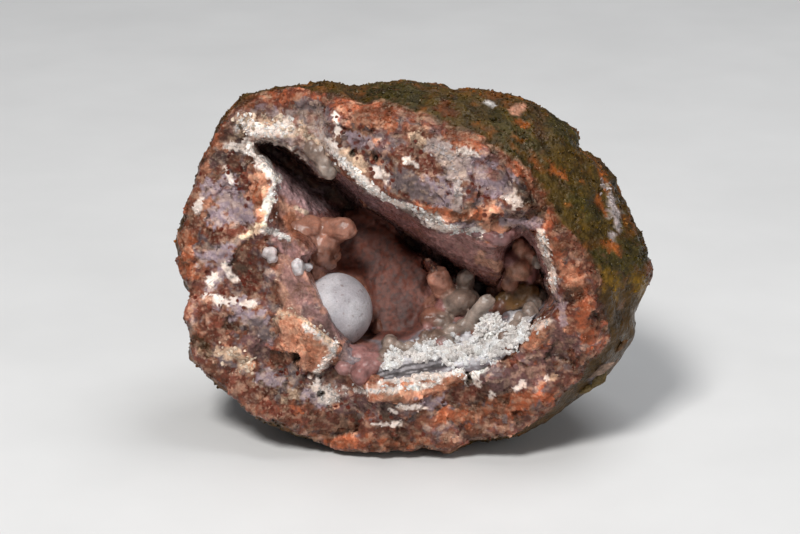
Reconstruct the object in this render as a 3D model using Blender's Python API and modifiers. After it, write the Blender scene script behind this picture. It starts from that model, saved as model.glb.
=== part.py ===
"""A broken chalcedony nodule, 60 mm wide, with a hollow that holds a knobbly crust.

Shapes are first laid out in millimetres as the broken face is looked at: x to the right, y up and
depth toward the viewer, from the middle of the stone. They are then turned into the stone's own
standing frame, in metres with +Z up, and set down on a small flat under the centre of mass.
"""

import math

import bmesh
import bpy
import numpy as np
from mathutils import Vector, noise

# Units and the direction from which the broken face is laid out
MM = 0.001
LOOK_DOWN = math.radians(20.0)
LOOK_DISTANCE = 309.0

# The nodule's body, in millimetres
FRONT_DEPTH = 16.5
BACK_DEPTH = 23.0
BASE_HEIGHT = -21.7
NOTCH_DEPTH = 9.0
ROUNDING_ANGLE = 18
SKIN_LUMP = 0.9
SKIN_PIT = 0.35

# Triangle budgets and the sizes of the working grids, in millimetres
ROCK_TRIANGLES = 6000
CRUST_TRIANGLES = 3700
SHEET_STEP = 0.5
ROCK_VOXEL = 0.5
CRUST_VOXEL = 0.33
CRUST_GAP = 0.5

# Outline of the whole stone, clockwise from its right end
OUTLINE = [
    (30.0, -0.6), (29.1, 2.7), (27.6, 5.7), (26.1, 8.7), (25.0, 11.6), (23.4, 13.2), (21.2, 14.5),
    (20.1, 14.9), (20.7, 16.0), (20.1, 17.7), (17.9, 18.9), (15.4, 20.4), (13.0, 21.2), (9.6, 21.9),
    (5.2, 22.4), (1.8, 23.1), (-2.1, 23.1), (-6.5, 22.5), (-9.2, 23.2), (-13.8, 22.7), (-17.4, 22.4),
    (-21.4, 21.5), (-24.0, 18.5), (-26.4, 13.8), (-27.3, 10.3), (-28.8, 6.2), (-30.0, 3.7),
    (-29.5, 1.6), (-28.9, -1.6), (-27.6, -3.7), (-28.8, -5.7), (-28.0, -8.5), (-27.9, -11.3),
    (-26.0, -13.6), (-22.4, -16.1), (-20.2, -18.7), (-16.2, -20.1), (-12.7, -21.7), (-8.6, -23.0),
    (-4.2, -23.0), (1.4, -22.4), (4.2, -23.4), (7.1, -21.7), (13.1, -21.1), (16.9, -19.1),
    (20.9, -16.1), (24.4, -13.3), (26.5, -10.6), (27.9, -8.2), (27.6, -5.6), (28.8, -3.6),
]

# The broken face: its tilt, and slabs that stand out from it or lie back
FACE_DEPTH = 6.8
FACE_SLOPE_X = 0.20
FACE_SLOPE_Y = 0.165
FACE_TWIST = 0.006
UPPER_SLAB = [
    (-10.5, 20.4), (-8.6, 21.0), (-1.7, 19.1), (4.6, 16.6), (10.8, 14.7), (14.3, 10.7), (15.9, 7.8),
    (12.7, 7.2), (8.3, 4.9), (3.3, 5.2), (-1.7, 8.1), (-6.7, 10.6), (-9.8, 12.8), (-10.7, 16.0),
]
WHITE_RECESS = [
    (-21.1, 19.5), (-11.1, 20.0), (-11.0, 16.0), (-10.2, 12.5), (-12.0, 11.7), (-14.2, 14.0),
    (-16.7, 15.9), (-20.2, 16.0), (-21.7, 17.5),
]
LILAC_DISH = [(7.3, 13.7), (10.8, 13.5), (12.6, 9.5), (9.8, 8.5), (7.6, 9.7)]
ORANGE_SLAB = [
    (-17.4, -6.6), (-15.2, -5.5), (-9.6, -9.5), (-9.8, -10.7), (-11.5, -13.5), (-14.2, -13.1),
    (-16.2, -10.3),
]
LOWER_STEP = [(-10.5, -11.8), (-8.0, -13.5), (-6.0, -15.5), (-8.6, -16.9), (-12.0, -14.6)]
INNER_BAND = [
    (-6.1, -14.7), (0.2, -13.5), (3.3, -12.7), (5.8, -12.1), (6.8, -13.6), (3.3, -15.7), (-1.7, -17.0),
    (-5.7, -16.9),
]
RIGHT_SLAB = [(12.7, -9.8), (14.0, -7.8), (15.9, -6.7), (17.0, -7.6), (16.7, -9.1), (15.0, -10.6)]
FACE_SLABS = [
    (UPPER_SLAB, 1.1), (WHITE_RECESS, -1.3), (LILAC_DISH, -1.0), (ORANGE_SLAB, 0.9),
    (LOWER_STEP, -1.4), (INNER_BAND, 0.7), (RIGHT_SLAB, 0.8),
]
LEDGE_SCALE = 0.13
LEDGE_COUNT = 3.0
LEDGE_STEEPNESS = 4.0
LEDGE_HEIGHT = 0.55
ROUGH_SCALE = 0.30
ROUGH_HEIGHT = 0.5
HOLLOW_CREST = [(-20.5, 15.2), (-19.0, 13.5), (-17.6, 11.3), (-18.0, 9.5), (-17.7, 7.8), (-18.5, 5.5)]
SIDE_CRACK = [(-27.9, -3.7), (-26.0, -1.8), (-24.7, -0.1), (-23.2, 1.2)]
FACE_LINES = [(HOLLOW_CREST, 1.0, 1.1), (SIDE_CRACK, -1.6, 0.6)]

# The hollow's walls, each a tilted flat: outline, depth at x = y = 0, slope along x, slope along y
LEFT_WALL = [
    (-19.5, 14.5), (-16.7, 12.0), (-14.2, 9.7), (-12.0, 8.0), (-9.8, 6.2), (-7.8, 5.5), (-7.7, 4.3),
    (-9.5, 3.3), (-10.1, 1.9), (-9.5, -0.1), (-12.0, -0.6), (-13.5, -1.2), (-14.2, 0.7), (-16.2, 1.7),
    (-18.2, 3.4), (-18.5, 5.7), (-17.4, 8.5), (-17.7, 9.7), (-16.7, 11.1), (-18.2, 12.8),
]
LOWER_WALL = [
    (-19.0, 1.2), (-16.2, 1.7), (-14.2, 0.7), (-12.0, -0.6), (-9.5, -0.1), (-6.5, -1.2), (-4.6, -5.3),
    (-5.2, -8.6), (-7.7, -10.6), (-9.6, -9.5), (-13.0, -6.8), (-15.5, -5.5), (-18.0, -4.1),
]
BACK_PLATE = [
    (-9.5, 3.3), (-7.7, 4.7), (-8.6, 7.0), (-6.1, 7.6), (-2.6, 5.5), (-0.2, 2.4), (1.9, 0.6),
    (2.4, -0.8), (1.7, -2.8), (0.8, -7.8), (-1.7, -9.1), (-5.2, -8.6), (-4.6, -5.3), (-6.5, -1.2),
    (-9.5, -0.3), (-10.1, 1.9),
]
SLOT = [
    (-20.1, 15.6), (-18.0, 15.7), (-15.9, 15.0), (-13.8, 13.5), (-12.5, 12.1), (-11.5, 11.2),
    (-9.7, 11.2), (-7.7, 9.7), (-6.1, 7.6), (-8.6, 7.0), (-7.7, 5.2), (-9.8, 6.2), (-12.0, 8.0),
    (-14.2, 9.7), (-16.7, 12.0), (-19.5, 14.5),
]
CREVICE = [
    (-6.1, 8.1), (-2.7, 5.8), (0.8, 3.4), (4.6, 0.7), (8.3, -1.7), (10.6, -3.2), (9.3, -4.1),
    (7.1, -2.8), (5.2, -0.6), (3.1, 0.4), (-0.2, 2.4), (-2.6, 5.2),
]
CEILING = [
    (-10.0, 12.3), (-8.0, 11.0), (-5.5, 9.3), (-1.7, 7.5), (1.8, 4.9), (3.1, 4.3), (6.2, 4.6),
    (8.3, 3.3), (10.5, 2.6), (11.5, 0.7), (10.6, -3.2), (8.3, -1.7), (4.6, 0.7), (0.8, 3.4),
    (-2.7, 5.8), (-6.1, 8.1), (-9.7, 11.2),
]
POCKET = [
    (10.5, 2.6), (12.2, 3.4), (12.6, 4.8), (14.3, 4.6), (15.4, 3.3), (16.0, 1.4), (17.0, -0.6),
    (16.5, -2.1), (13.3, -2.2), (11.5, -3.2), (10.6, -3.2), (11.5, 0.7),
]
FLOOR = [
    (1.7, -2.8), (2.4, -0.8), (3.9, 0.1), (7.1, -2.8), (9.3, -4.1), (10.6, -3.2), (13.3, -2.2),
    (16.5, -2.1), (18.0, -4.1), (16.5, -5.3), (14.3, -7.2), (12.7, -9.7), (10.8, -11.2), (7.7, -12.3),
    (3.3, -12.6), (0.2, -13.2), (-2.9, -13.8), (-6.1, -14.6), (-8.0, -13.3), (-9.7, -11.7),
    (-8.5, -9.1), (-5.2, -8.6), (-1.7, -9.1), (0.8, -7.8),
]
HOLLOW_WALLS = [
    (LEFT_WALL, -7.8, -0.60, 0.0), (LOWER_WALL, -9.4, -0.70, 0.0), (BACK_PLATE, -7.0, 0.0, -0.25),
    (SLOT, -13.0, -0.30, 0.0), (CREVICE, -13.0, 0.0, 0.0), (CEILING, -5.7, 0.85, 1.8),
    (POCKET, -3.0, 0.0, 0.3), (FLOOR, -10.3, 0.0, -1.10),
]

# Lumps of the crust: x, y, radius, height of the centre above the hollow's wall
BALL = (-9.2, -4.8, 4.65, 2.6)
ROUND_KNOBS = [
    (-8.8, 4.9, 1.6, 1.4), (-10.2, 3.7, 1.3, 1.0), (-11.5, 2.4, 1.5, 0.9), (-9.9, 0.7, 1.4, 1.2),
    (-14.3, 0.6, 1.1, 0.6), (-12.9, 1.3, 1.3, 0.4),
    (5.8, -0.9, 1.3, 2.8), (7.0, -1.3, 1.1, 2.6), (6.1, -4.4, 1.6, 2.2), (9.6, -5.7, 0.9, 1.2),
    (4.1, -4.9, 1.0, 1.6), (2.4, -6.6, 1.7, 0.9), (7.7, -7.6, 1.3, 1.0), (4.8, -8.0, 1.1, 0.8),
    (2.9, -8.6, 1.1, 0.7), (1.4, -9.1, 1.3, 0.6), (10.2, -7.6, 1.5, 0.7), (-2.7, -9.8, 1.3, 0.6),
    (-0.8, -10.4, 1.1, 0.7), (12.8, 0.7, 1.4, 1.5), (14.6, 2.1, 1.4, 1.0), (-3.9, -4.7, 1.2, 0.5),
    (-4.7, -7.8, 1.3, 0.5), (9.6, -2.9, 1.2, 1.2), (10.9, -5.3, 1.2, 0.9),
]
# Fingers: root x, y, tip x, y, root radius, tip radius, height of root and tip above the wall
FINGERS = [
    (3.4, -3.9, 3.7, -1.4, 1.5, 1.25, 0.8, 3.0), (7.3, -6.6, 9.4, -3.4, 1.0, 0.85, 1.2, 2.4),
    (10.9, -8.9, 16.4, -4.4, 1.0, 0.8, 1.0, 2.2),
]
# Blocky lumps: x, y, half sizes along x, y and depth, turn in degrees, height above the wall
BLOCK_SQUARENESS = 0.62
BLOCKS = [
    (-6.3, -11.8, 2.5, 2.6, 1.6, 20.0, 0.9), (13.4, -4.0, 2.6, 1.9, 1.5, 12.0, 1.0),
    (-1.8, 0.0, 3.9, 6.4, 1.3, 32.0, 0.6),
]
# The druse bed: its edge, thickness and the grains along its front
BED = [
    (-10.4, 6.2), (-7.4, 6.0), (-2.8, 4.4), (-0.8, 1.8), (1.4, 0.1), (4.6, -0.6), (7.4, -2.4),
    (10.4, -2.4), (11.8, 0.6), (12.3, 2.6), (14.6, 3.4), (15.6, 0.8), (16.2, -1.6), (16.9, -4.2),
    (14.0, -6.8), (12.2, -9.4), (10.0, -11.0), (3.3, -12.2), (-2.9, -13.2), (-6.2, -13.9),
    (-9.0, -11.6), (-10.5, -8.5), (-12.8, -5.0), (-12.6, -1.6), (-13.2, 1.2), (-12.4, 3.4),
]
BED_THICKNESS = 1.25
DRUSE_LINE = [(-3.4, -12.6), (0.6, -12.2), (4.2, -11.4), (8.0, -10.6), (11.0, -9.0), (13.6, -6.6)]
DRUSE_GRAINS = 46
DRUSE_SPREAD = 1.7
DRUSE_SIZE = 0.75

RANDOM_SEED = 11


def clear_scene():
    for old in list(bpy.data.objects):
        bpy.data.objects.remove(old, do_unlink=True)


def new_collection(name):
    collection = bpy.data.collections.new(name)
    bpy.context.scene.collection.children.link(collection)
    return collection


def new_object(name, mesh, collection):
    thing = bpy.data.objects.new(name, mesh)
    collection.objects.link(thing)
    return thing


def new_material(name, colour, roughness):
    material = bpy.data.materials.new(name)
    material.use_nodes = True
    shader = material.node_tree.nodes["Principled BSDF"]
    shader.inputs["Base Color"].default_value = (*colour, 1.0)
    shader.inputs["Roughness"].default_value = roughness
    shader.inputs["Metallic"].default_value = 0.0
    material.diffuse_color = (*colour, 1.0)
    return material


def read_points(mesh):
    points = np.empty(len(mesh.vertices) * 3, dtype=np.float32)
    mesh.vertices.foreach_get("co", points)
    return points.reshape(-1, 3).astype(np.float64)


def write_points(mesh, points):
    mesh.vertices.foreach_set("co", points.astype(np.float32).ravel())
    mesh.update()


def mesh_from(build):
    """Run a bmesh building function and return its mesh."""
    shape = bmesh.new()
    build(shape)
    bmesh.ops.recalc_face_normals(shape, faces=shape.faces)
    mesh = bpy.data.meshes.new("shape")
    shape.to_mesh(mesh)
    shape.free()
    return mesh


def evaluated_mesh(thing):
    """The object's mesh with its modifiers applied."""
    graph = bpy.context.evaluated_depsgraph_get()
    graph.update()
    return bpy.data.meshes.new_from_object(thing.evaluated_get(graph))


def bake_modifiers(thing):
    mesh = evaluated_mesh(thing)
    thing.modifiers.clear()
    thing.data = mesh


def triangle_count(mesh):
    return sum(len(face.vertices) - 2 for face in mesh.polygons)


# Depth of the broken face and of the hollow


def inside(outline, x, y):
    """True where a point lies in the closed outline."""
    result = np.zeros(np.shape(x), dtype=bool)
    for (x0, y0), (x1, y1) in zip(outline, outline[1:] + outline[:1]):
        if y0 == y1:
            continue
        crosses = (y0 > y) != (y1 > y)
        result ^= crosses & (x < (x1 - x0) * (y - y0) / (y1 - y0) + x0)
    return result


def distance_to_line(line, x, y):
    nearest = np.full(np.shape(x), np.inf)
    for (x0, y0), (x1, y1) in zip(line, line[1:]):
        length = (x1 - x0) ** 2 + (y1 - y0) ** 2
        along = np.clip(((x - x0) * (x1 - x0) + (y - y0) * (y1 - y0)) / length, 0.0, 1.0)
        gap = np.hypot(x - x0 - along * (x1 - x0), y - y0 - along * (y1 - y0))
        nearest = np.minimum(nearest, gap)
    return nearest


def soften(field, passes):
    for _ in range(passes):
        padded = np.pad(field, 1, mode="edge")
        field = (padded[1:-1, 1:-1] * 2 + padded[:-2, 1:-1] + padded[2:, 1:-1]
                 + padded[1:-1, :-2] + padded[1:-1, 2:]) / 6
    return field


def broken_relief(x, y):
    """Uneven breaks: low ledges that step across the face, with rough ground between them."""
    relief = np.empty(np.shape(x))
    for index in np.ndindex(relief.shape):
        point = Vector((x[index], y[index], 0.0))
        steps = noise.fractal(point * LEDGE_SCALE, 1.0, 2.0, 2) * LEDGE_COUNT
        step = math.floor(steps) + min(1.0, (steps % 1.0) * LEDGE_STEEPNESS)
        rough = noise.fractal(point * ROUGH_SCALE + Vector((4.0, 1.0, 7.0)), 1.0, 2.0, 2)
        relief[index] = LEDGE_HEIGHT * step + ROUGH_HEIGHT * rough
    return relief


def depth_field(x, y):
    """Depth of the open side: the broken face with its slabs, then the walls of the hollow."""
    depth = FACE_DEPTH + FACE_SLOPE_X * x + FACE_SLOPE_Y * y + FACE_TWIST * x * y
    for outline, lift in FACE_SLABS:
        depth = np.where(inside(outline, x, y), depth + lift, depth)
    for line, lift, width in FACE_LINES:
        depth = depth + lift * np.exp(-(distance_to_line(line, x, y) / width) ** 2)
    depth = depth + broken_relief(x, y)
    for outline, level, slope_x, slope_y in HOLLOW_WALLS:
        depth = np.where(inside(outline, x, y), level + slope_x * x + slope_y * y, depth)
    return depth


class DepthMap:
    """The softened depth field on a grid, read between its points."""

    def __init__(self):
        self.half = (34.0, 27.0)
        self.count = [int(2 * half / SHEET_STEP) + 1 for half in self.half]
        self.axes = [np.linspace(-half, half, n) for half, n in zip(self.half, self.count)]
        x, y = np.meshgrid(*self.axes, indexing="ij")
        self.depth = soften(depth_field(x, y), 2)

    def at(self, x, y):
        x, y = np.atleast_1d(np.asarray(x, float)), np.atleast_1d(np.asarray(y, float))
        place = []
        for value, half, n in zip((x, y), self.half, self.count):
            place.append(np.clip((value + half) / (2 * half) * (n - 1), 0, n - 1.001))
        i, j = place[0].astype(int), place[1].astype(int)
        u, v = place[0] - i, place[1] - j
        low = self.depth[i, j] * (1 - v) + self.depth[i, j + 1] * v
        high = self.depth[i + 1, j] * (1 - v) + self.depth[i + 1, j + 1] * v
        return low * (1 - u) + high * u

    def one(self, x, y):
        return float(self.at(x, y)[0])


# The nodule's body


def outline_radius(angle):
    """Distance from the middle to the outline, for each angle."""
    points = np.array(OUTLINE)
    angles = np.arctan2(points[:, 1], points[:, 0])
    radii = np.hypot(points[:, 0], points[:, 1])
    order = np.argsort(angles)
    return np.interp(angle, angles[order], radii[order], period=2 * math.pi)


def rounded_radius(angle):
    """The outline's radius with its small notches evened out."""
    turns = np.radians(np.arange(-ROUNDING_ANGLE, ROUNDING_ANGLE + 1, 3.0))
    return sum(outline_radius(angle + turn) for turn in turns) / len(turns)


def skin_relief(point, strength):
    """Lumps and pits of the outer skin, as a distance outward."""
    lumps = noise.fractal(point * 0.11, 1.0, 2.0, 3) * SKIN_LUMP
    pits = noise.fractal(point * 0.42 + Vector((9.0, 3.0, 5.0)), 1.0, 2.0, 2) * SKIN_PIT
    return (lumps + pits) * strength


def body_mesh():
    mesh = mesh_from(lambda shape: bmesh.ops.create_icosphere(shape, subdivisions=6, radius=1.0))
    unit = read_points(mesh)
    across = np.hypot(unit[:, 0], unit[:, 1])
    angle = np.arctan2(unit[:, 1], unit[:, 0])
    depth = unit[:, 2] * np.where(unit[:, 2] > 0, FRONT_DEPTH, BACK_DEPTH)
    near_outline = np.exp(-(depth / NOTCH_DEPTH) ** 2)
    even = rounded_radius(angle)
    radius = (even + (outline_radius(angle) - even) * near_outline) * across
    points = np.stack([radius * np.cos(angle), radius * np.sin(angle), depth], axis=1)
    for index, point in enumerate(points):
        strength = min(1.0, abs(unit[index, 2]) * 2.5)
        relief = skin_relief(Vector(point), strength)
        points[index] = point + relief * unit[index]
    write_points(mesh, points)
    return mesh


def front_cutter_mesh(depth_map):
    """Everything in front of the depth map: a displaced sheet drawn out toward the viewer."""

    def build(shape):
        made = bmesh.ops.create_grid(
            shape, x_segments=depth_map.count[0] - 1, y_segments=depth_map.count[1] - 1, size=1.0
        )
        for vert in made["verts"]:
            vert.co.x *= depth_map.half[0]
            vert.co.y *= depth_map.half[1]
            vert.co.z = depth_map.one(vert.co.x, vert.co.y)
        raised = bmesh.ops.extrude_face_region(shape, geom=list(shape.faces))["geom"]
        for item in raised:
            if isinstance(item, bmesh.types.BMVert):
                item.co.z = 40.0

    return mesh_from(build)


def add_boolean(thing, cutter, operation):
    cut = thing.modifiers.new("Cut", "BOOLEAN")
    cut.operation = operation
    cut.solver = "EXACT"
    cut.object = cutter


def add_voxel_remesh(thing, size):
    remesh = thing.modifiers.new("Even", "REMESH")
    remesh.mode = "VOXEL"
    remesh.voxel_size = size
    remesh.adaptivity = 0.0


def add_smooth(thing, factor, repeats):
    smooth = thing.modifiers.new("Soften", "SMOOTH")
    smooth.factor = factor
    smooth.iterations = repeats


def reduce_to(thing, triangles):
    """Collapse edges until the object has about this many triangles."""
    mesh = evaluated_mesh(thing)
    fewer = thing.modifiers.new("Reduce", "DECIMATE")
    fewer.decimate_type = "COLLAPSE"
    fewer.ratio = triangles / triangle_count(mesh)
    fewer.use_collapse_triangulate = True
    bpy.data.meshes.remove(mesh)


def keep_largest_body(mesh):
    """Drop loose crumbs that a cut leaves beside the main body."""
    shape = bmesh.new()
    shape.from_mesh(mesh)
    waiting = set(shape.verts)
    bodies = []
    while waiting:
        stack = [waiting.pop()]
        body = []
        while stack:
            vert = stack.pop()
            body.append(vert)
            for edge in vert.link_edges:
                other = edge.other_vert(vert)
                if other in waiting:
                    waiting.remove(other)
                    stack.append(other)
        bodies.append(body)
    bodies.sort(key=len, reverse=True)
    for body in bodies[1:]:
        bmesh.ops.delete(shape, geom=body, context="VERTS")
    shape.to_mesh(mesh)
    shape.free()
    mesh.update()


def stand_up(points):
    """From the layout in millimetres to the standing frame in metres."""
    nearer = 1.0 - points[:, 2] / LOOK_DISTANCE
    x, y, depth = points[:, 0] * nearer, points[:, 1] * nearer, points[:, 2]
    sin_down, cos_down = math.sin(LOOK_DOWN), math.cos(LOOK_DOWN)
    placed = np.stack([x, y * sin_down - depth * cos_down, y * cos_down + depth * sin_down], axis=1)
    return placed * MM


def cut_base(mesh):
    """Cut the underside flat at the base height and close it with one flat face."""
    shape = bmesh.new()
    shape.from_mesh(mesh)
    geometry = list(shape.verts) + list(shape.edges) + list(shape.faces)
    level = Vector((0.0, 0.0, BASE_HEIGHT * MM))
    bmesh.ops.bisect_plane(
        shape, geom=geometry, dist=0.05 * MM, plane_co=level, plane_no=(0.0, 0.0, -1.0),
        clear_outer=True,
    )
    rim = [edge for edge in shape.edges if edge.is_boundary]
    filled = bmesh.ops.holes_fill(shape, edges=rim, sides=0)
    bmesh.ops.triangulate(shape, faces=filled["faces"])
    bmesh.ops.recalc_face_normals(shape, faces=shape.faces)
    shape.to_mesh(mesh)
    shape.free()
    mesh.update()


# The crust's lumps


def add_ball(shape, centre, radii, detail):
    made = bmesh.ops.create_icosphere(shape, subdivisions=detail, radius=1.0)
    for vert in made["verts"]:
        vert.co = Vector([c + v * r for c, v, r in zip(centre, vert.co, radii)])


def add_finger(shape, root, tip, root_radius, tip_radius):
    """A tapering finger: balls set close together from root to tip."""
    length = (tip - root).length
    count = max(3, int(length / 0.5))
    for step in range(count + 1):
        along = step / count
        radius = root_radius + (tip_radius - root_radius) * along
        add_ball(shape, root.lerp(tip, along), (radius, radius, radius), 2)


def add_block(shape, centre, half, turn):
    """A lump between a box and a ball."""
    made = bmesh.ops.create_icosphere(shape, subdivisions=4, radius=1.0)
    for vert in made["verts"]:
        squared = [math.copysign(abs(value) ** BLOCK_SQUARENESS, value) for value in vert.co]
        x, y, depth = (value * size for value, size in zip(squared, half))
        vert.co = centre + Vector((
            x * math.cos(turn) - y * math.sin(turn), x * math.sin(turn) + y * math.cos(turn), depth,
        ))


def add_grain(shape, centre, size, lean):
    """A small pointed crystal with flat faces."""
    made = bmesh.ops.create_cone(
        shape, cap_ends=True, segments=6, radius1=size, radius2=size * 0.25, depth=size * 2.2
    )
    turn = Vector((0.0, 0.0, 1.0)).rotation_difference(lean)
    for vert in made["verts"]:
        vert.co = turn @ vert.co + centre


def bed_mesh(depth_map):
    """A sheet over the hollow's floor and back, thickened both ways."""

    def build(shape):
        made = bmesh.ops.create_grid(
            shape, x_segments=depth_map.count[0] - 1, y_segments=depth_map.count[1] - 1, size=1.0
        )
        for vert in made["verts"]:
            vert.co.x *= depth_map.half[0]
            vert.co.y *= depth_map.half[1]
        outside = [vert for vert in shape.verts if not inside(BED, vert.co.x, vert.co.y)]
        bmesh.ops.delete(shape, geom=outside, context="VERTS")
        for vert in shape.verts:
            vert.co.z = depth_map.one(vert.co.x, vert.co.y) - BED_THICKNESS
        raised = bmesh.ops.extrude_face_region(shape, geom=list(shape.faces))["geom"]
        for item in raised:
            if isinstance(item, bmesh.types.BMVert):
                item.co.z += 2 * BED_THICKNESS

    return mesh_from(build)


def crust_lumps(depth_map):
    """Every lump of the crust, as overlapping closed bodies in one mesh."""

    def on_wall(x, y, height):
        return Vector((x, y, depth_map.one(x, y) + height))

    def build(shape):
        x, y, radius, height = BALL
        add_ball(shape, on_wall(x, y, height), (radius, radius * 0.96, radius), 4)
        for x, y, radius, height in ROUND_KNOBS:
            add_ball(shape, on_wall(x, y, height), (radius, radius, radius * 1.15), 3)
        for x0, y0, x1, y1, root_radius, tip_radius, low, high in FINGERS:
            root = on_wall(x0, y0, low)
            tip = Vector((x1, y1, root.z + high - low))
            add_finger(shape, root, tip, root_radius, tip_radius)
        for x, y, half_x, half_y, half_depth, turn, height in BLOCKS:
            add_block(shape, on_wall(x, y, height), (half_x, half_y, half_depth), math.radians(turn))
        chance = np.random.default_rng(RANDOM_SEED)
        for _ in range(DRUSE_GRAINS):
            place = chance.uniform(0, len(DRUSE_LINE) - 1.001)
            start, end = DRUSE_LINE[int(place)], DRUSE_LINE[int(place) + 1]
            x = start[0] + (end[0] - start[0]) * (place % 1)
            y = start[1] + (end[1] - start[1]) * (place % 1) + chance.uniform(-0.2, 1) * DRUSE_SPREAD
            lean = Vector((chance.normal(0, 0.35), 0.5 + chance.normal(0, 0.3), 1.0)).normalized()
            size = DRUSE_SIZE * chance.uniform(0.7, 1.3)
            add_grain(shape, on_wall(x, y, 1.1), size, lean)

    return mesh_from(build)


def join_meshes(first, second):
    shape = bmesh.new()
    shape.from_mesh(first)
    shape.from_mesh(second)
    mesh = bpy.data.meshes.new("joined")
    shape.to_mesh(mesh)
    shape.free()
    return mesh


# Building the two pieces


def make_rock(depth_map, stone, cutters):
    rock = new_object("geode_rock", body_mesh(), stone)
    front = new_object("front_cutter", front_cutter_mesh(depth_map), cutters)
    add_boolean(rock, front, "DIFFERENCE")
    add_voxel_remesh(rock, ROCK_VOXEL)
    add_smooth(rock, 0.5, 1)
    reduce_to(rock, ROCK_TRIANGLES)
    bake_modifiers(rock)
    keep_largest_body(rock.data)
    return rock


def make_crust(depth_map, rock, stone, cutters):
    lumps = join_meshes(bed_mesh(depth_map), crust_lumps(depth_map))
    crust = new_object("chalcedony_crust", lumps, stone)
    add_voxel_remesh(crust, CRUST_VOXEL)
    swollen = rock.data.copy()
    points = read_points(swollen)
    normals = np.array([vert.normal for vert in swollen.vertices])
    write_points(swollen, points + normals * CRUST_GAP)
    clearance = new_object("crust_clearance", swollen, cutters)
    add_voxel_remesh(clearance, CRUST_VOXEL)
    add_boolean(crust, clearance, "DIFFERENCE")
    add_voxel_remesh(crust, CRUST_VOXEL)
    bake_modifiers(crust)
    keep_largest_body(crust.data)
    reduce_to(crust, CRUST_TRIANGLES)
    bake_modifiers(crust)
    keep_largest_body(crust.data)
    return crust


def place_origin(things):
    """Move the pieces so that the origin is under the middle of the box around them."""
    boxes = [read_points(thing.data) for thing in things]
    everything = np.concatenate(boxes)
    low, high = everything.min(axis=0), everything.max(axis=0)
    shift = np.array([(low[0] + high[0]) / 2, (low[1] + high[1]) / 2, low[2]])
    for thing, points in zip(things, boxes):
        write_points(thing.data, points - shift)


def main():
    clear_scene()
    stone = new_collection("chalcedony_geode")
    cutters = new_collection("cutters")
    depth_map = DepthMap()
    rock = make_rock(depth_map, stone, cutters)
    crust = make_crust(depth_map, rock, stone, cutters)
    for thing in (rock, crust):
        write_points(thing.data, stand_up(read_points(thing.data)))
    cut_base(rock.data)
    place_origin([rock, crust])
    rock.data.materials.append(new_material("brown_rock", (0.30, 0.16, 0.10), 0.6))
    crust.data.materials.append(new_material("frosted_chalcedony", (0.55, 0.48, 0.50), 0.35))
    for cutter in list(cutters.objects):
        bpy.data.objects.remove(cutter, do_unlink=True)
    bpy.data.collections.remove(cutters)


main()
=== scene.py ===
"""The looks of a broken chalcedony nodule and of the crust in its hollow.

Shapes are laid out in millimetres as the broken face is looked at (x right, y up, depth toward the
viewer), and patches of colour by the pixel of the photograph that shows them.
"""

import math

import bmesh
import bpy
import numpy as np
from mathutils import Euler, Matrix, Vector, noise
from mathutils.bvhtree import BVHTree
from mathutils.kdtree import KDTree


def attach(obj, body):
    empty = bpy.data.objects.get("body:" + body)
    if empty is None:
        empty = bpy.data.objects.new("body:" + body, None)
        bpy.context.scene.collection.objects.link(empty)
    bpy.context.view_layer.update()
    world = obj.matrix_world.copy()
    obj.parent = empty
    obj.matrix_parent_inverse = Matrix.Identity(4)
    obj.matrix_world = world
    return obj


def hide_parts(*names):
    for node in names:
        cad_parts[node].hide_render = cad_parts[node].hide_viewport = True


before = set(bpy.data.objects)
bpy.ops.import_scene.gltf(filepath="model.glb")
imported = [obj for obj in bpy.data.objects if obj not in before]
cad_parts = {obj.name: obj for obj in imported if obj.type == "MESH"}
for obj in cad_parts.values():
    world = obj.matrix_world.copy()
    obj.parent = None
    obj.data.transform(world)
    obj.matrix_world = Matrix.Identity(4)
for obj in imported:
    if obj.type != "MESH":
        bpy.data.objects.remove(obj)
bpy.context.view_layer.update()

MM = 0.001
# The view: how far it looks down, from how far in millimetres, and where the picture has its scale
LOOK_DOWN = math.radians(20.0)
SIN_DOWN = math.sin(LOOK_DOWN)
COS_DOWN = math.cos(LOOK_DOWN)
# The camera's own directions: out of the picture and up in it
TOWARD = np.array([0.0, -COS_DOWN, SIN_DOWN])
UP = np.array([0.0, SIN_DOWN, COS_DOWN])
LOOK_DISTANCE = 309.0
STONE_MIDDLE = np.array([-0.06, -5.944, 21.746])
PIXELS_PER_MM = 7.98
MIDDLE_PIXEL = (413.5, 267.5)
FRAME_PIXELS = (800.0, 534.0)
SENSOR = 36.0

# How finely the pieces are meshed, in millimetres and triangles
ROCK_VOXEL = 0.25
ROCK_TRIANGLES = 190000
SHEET_STEP = 0.5
SHEET_HALF = (34.0, 27.0)
BED_STEP = 0.14
KNOB_VOXEL = 0.15

# The broken face and the hollow, as the solids have them
FACE_DEPTH = 6.8
FACE_SLOPE_X = 0.20
FACE_SLOPE_Y = 0.165
FACE_TWIST = 0.006
UPPER_SLAB = [
    (-10.5, 20.4), (-8.6, 21.0), (-1.7, 19.1), (4.6, 16.6), (10.8, 14.7), (14.3, 10.7), (15.9, 7.8),
    (12.7, 7.2), (8.3, 4.9), (3.3, 5.2), (-1.7, 8.1), (-6.7, 10.6), (-9.8, 12.8), (-10.7, 16.0),
]
WHITE_RECESS = [
    (-21.1, 19.5), (-11.1, 20.0), (-11.0, 16.0), (-10.2, 12.5), (-12.0, 11.7), (-14.2, 14.0),
    (-16.7, 15.9), (-20.2, 16.0), (-21.7, 17.5),
]
LILAC_DISH = [(7.3, 13.7), (10.8, 13.5), (12.6, 9.5), (9.8, 8.5), (7.6, 9.7)]
ORANGE_SLAB = [
    (-17.4, -6.6), (-15.2, -5.5), (-9.6, -9.5), (-9.8, -10.7), (-11.5, -13.5), (-14.2, -13.1),
    (-16.2, -10.3),
]
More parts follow.
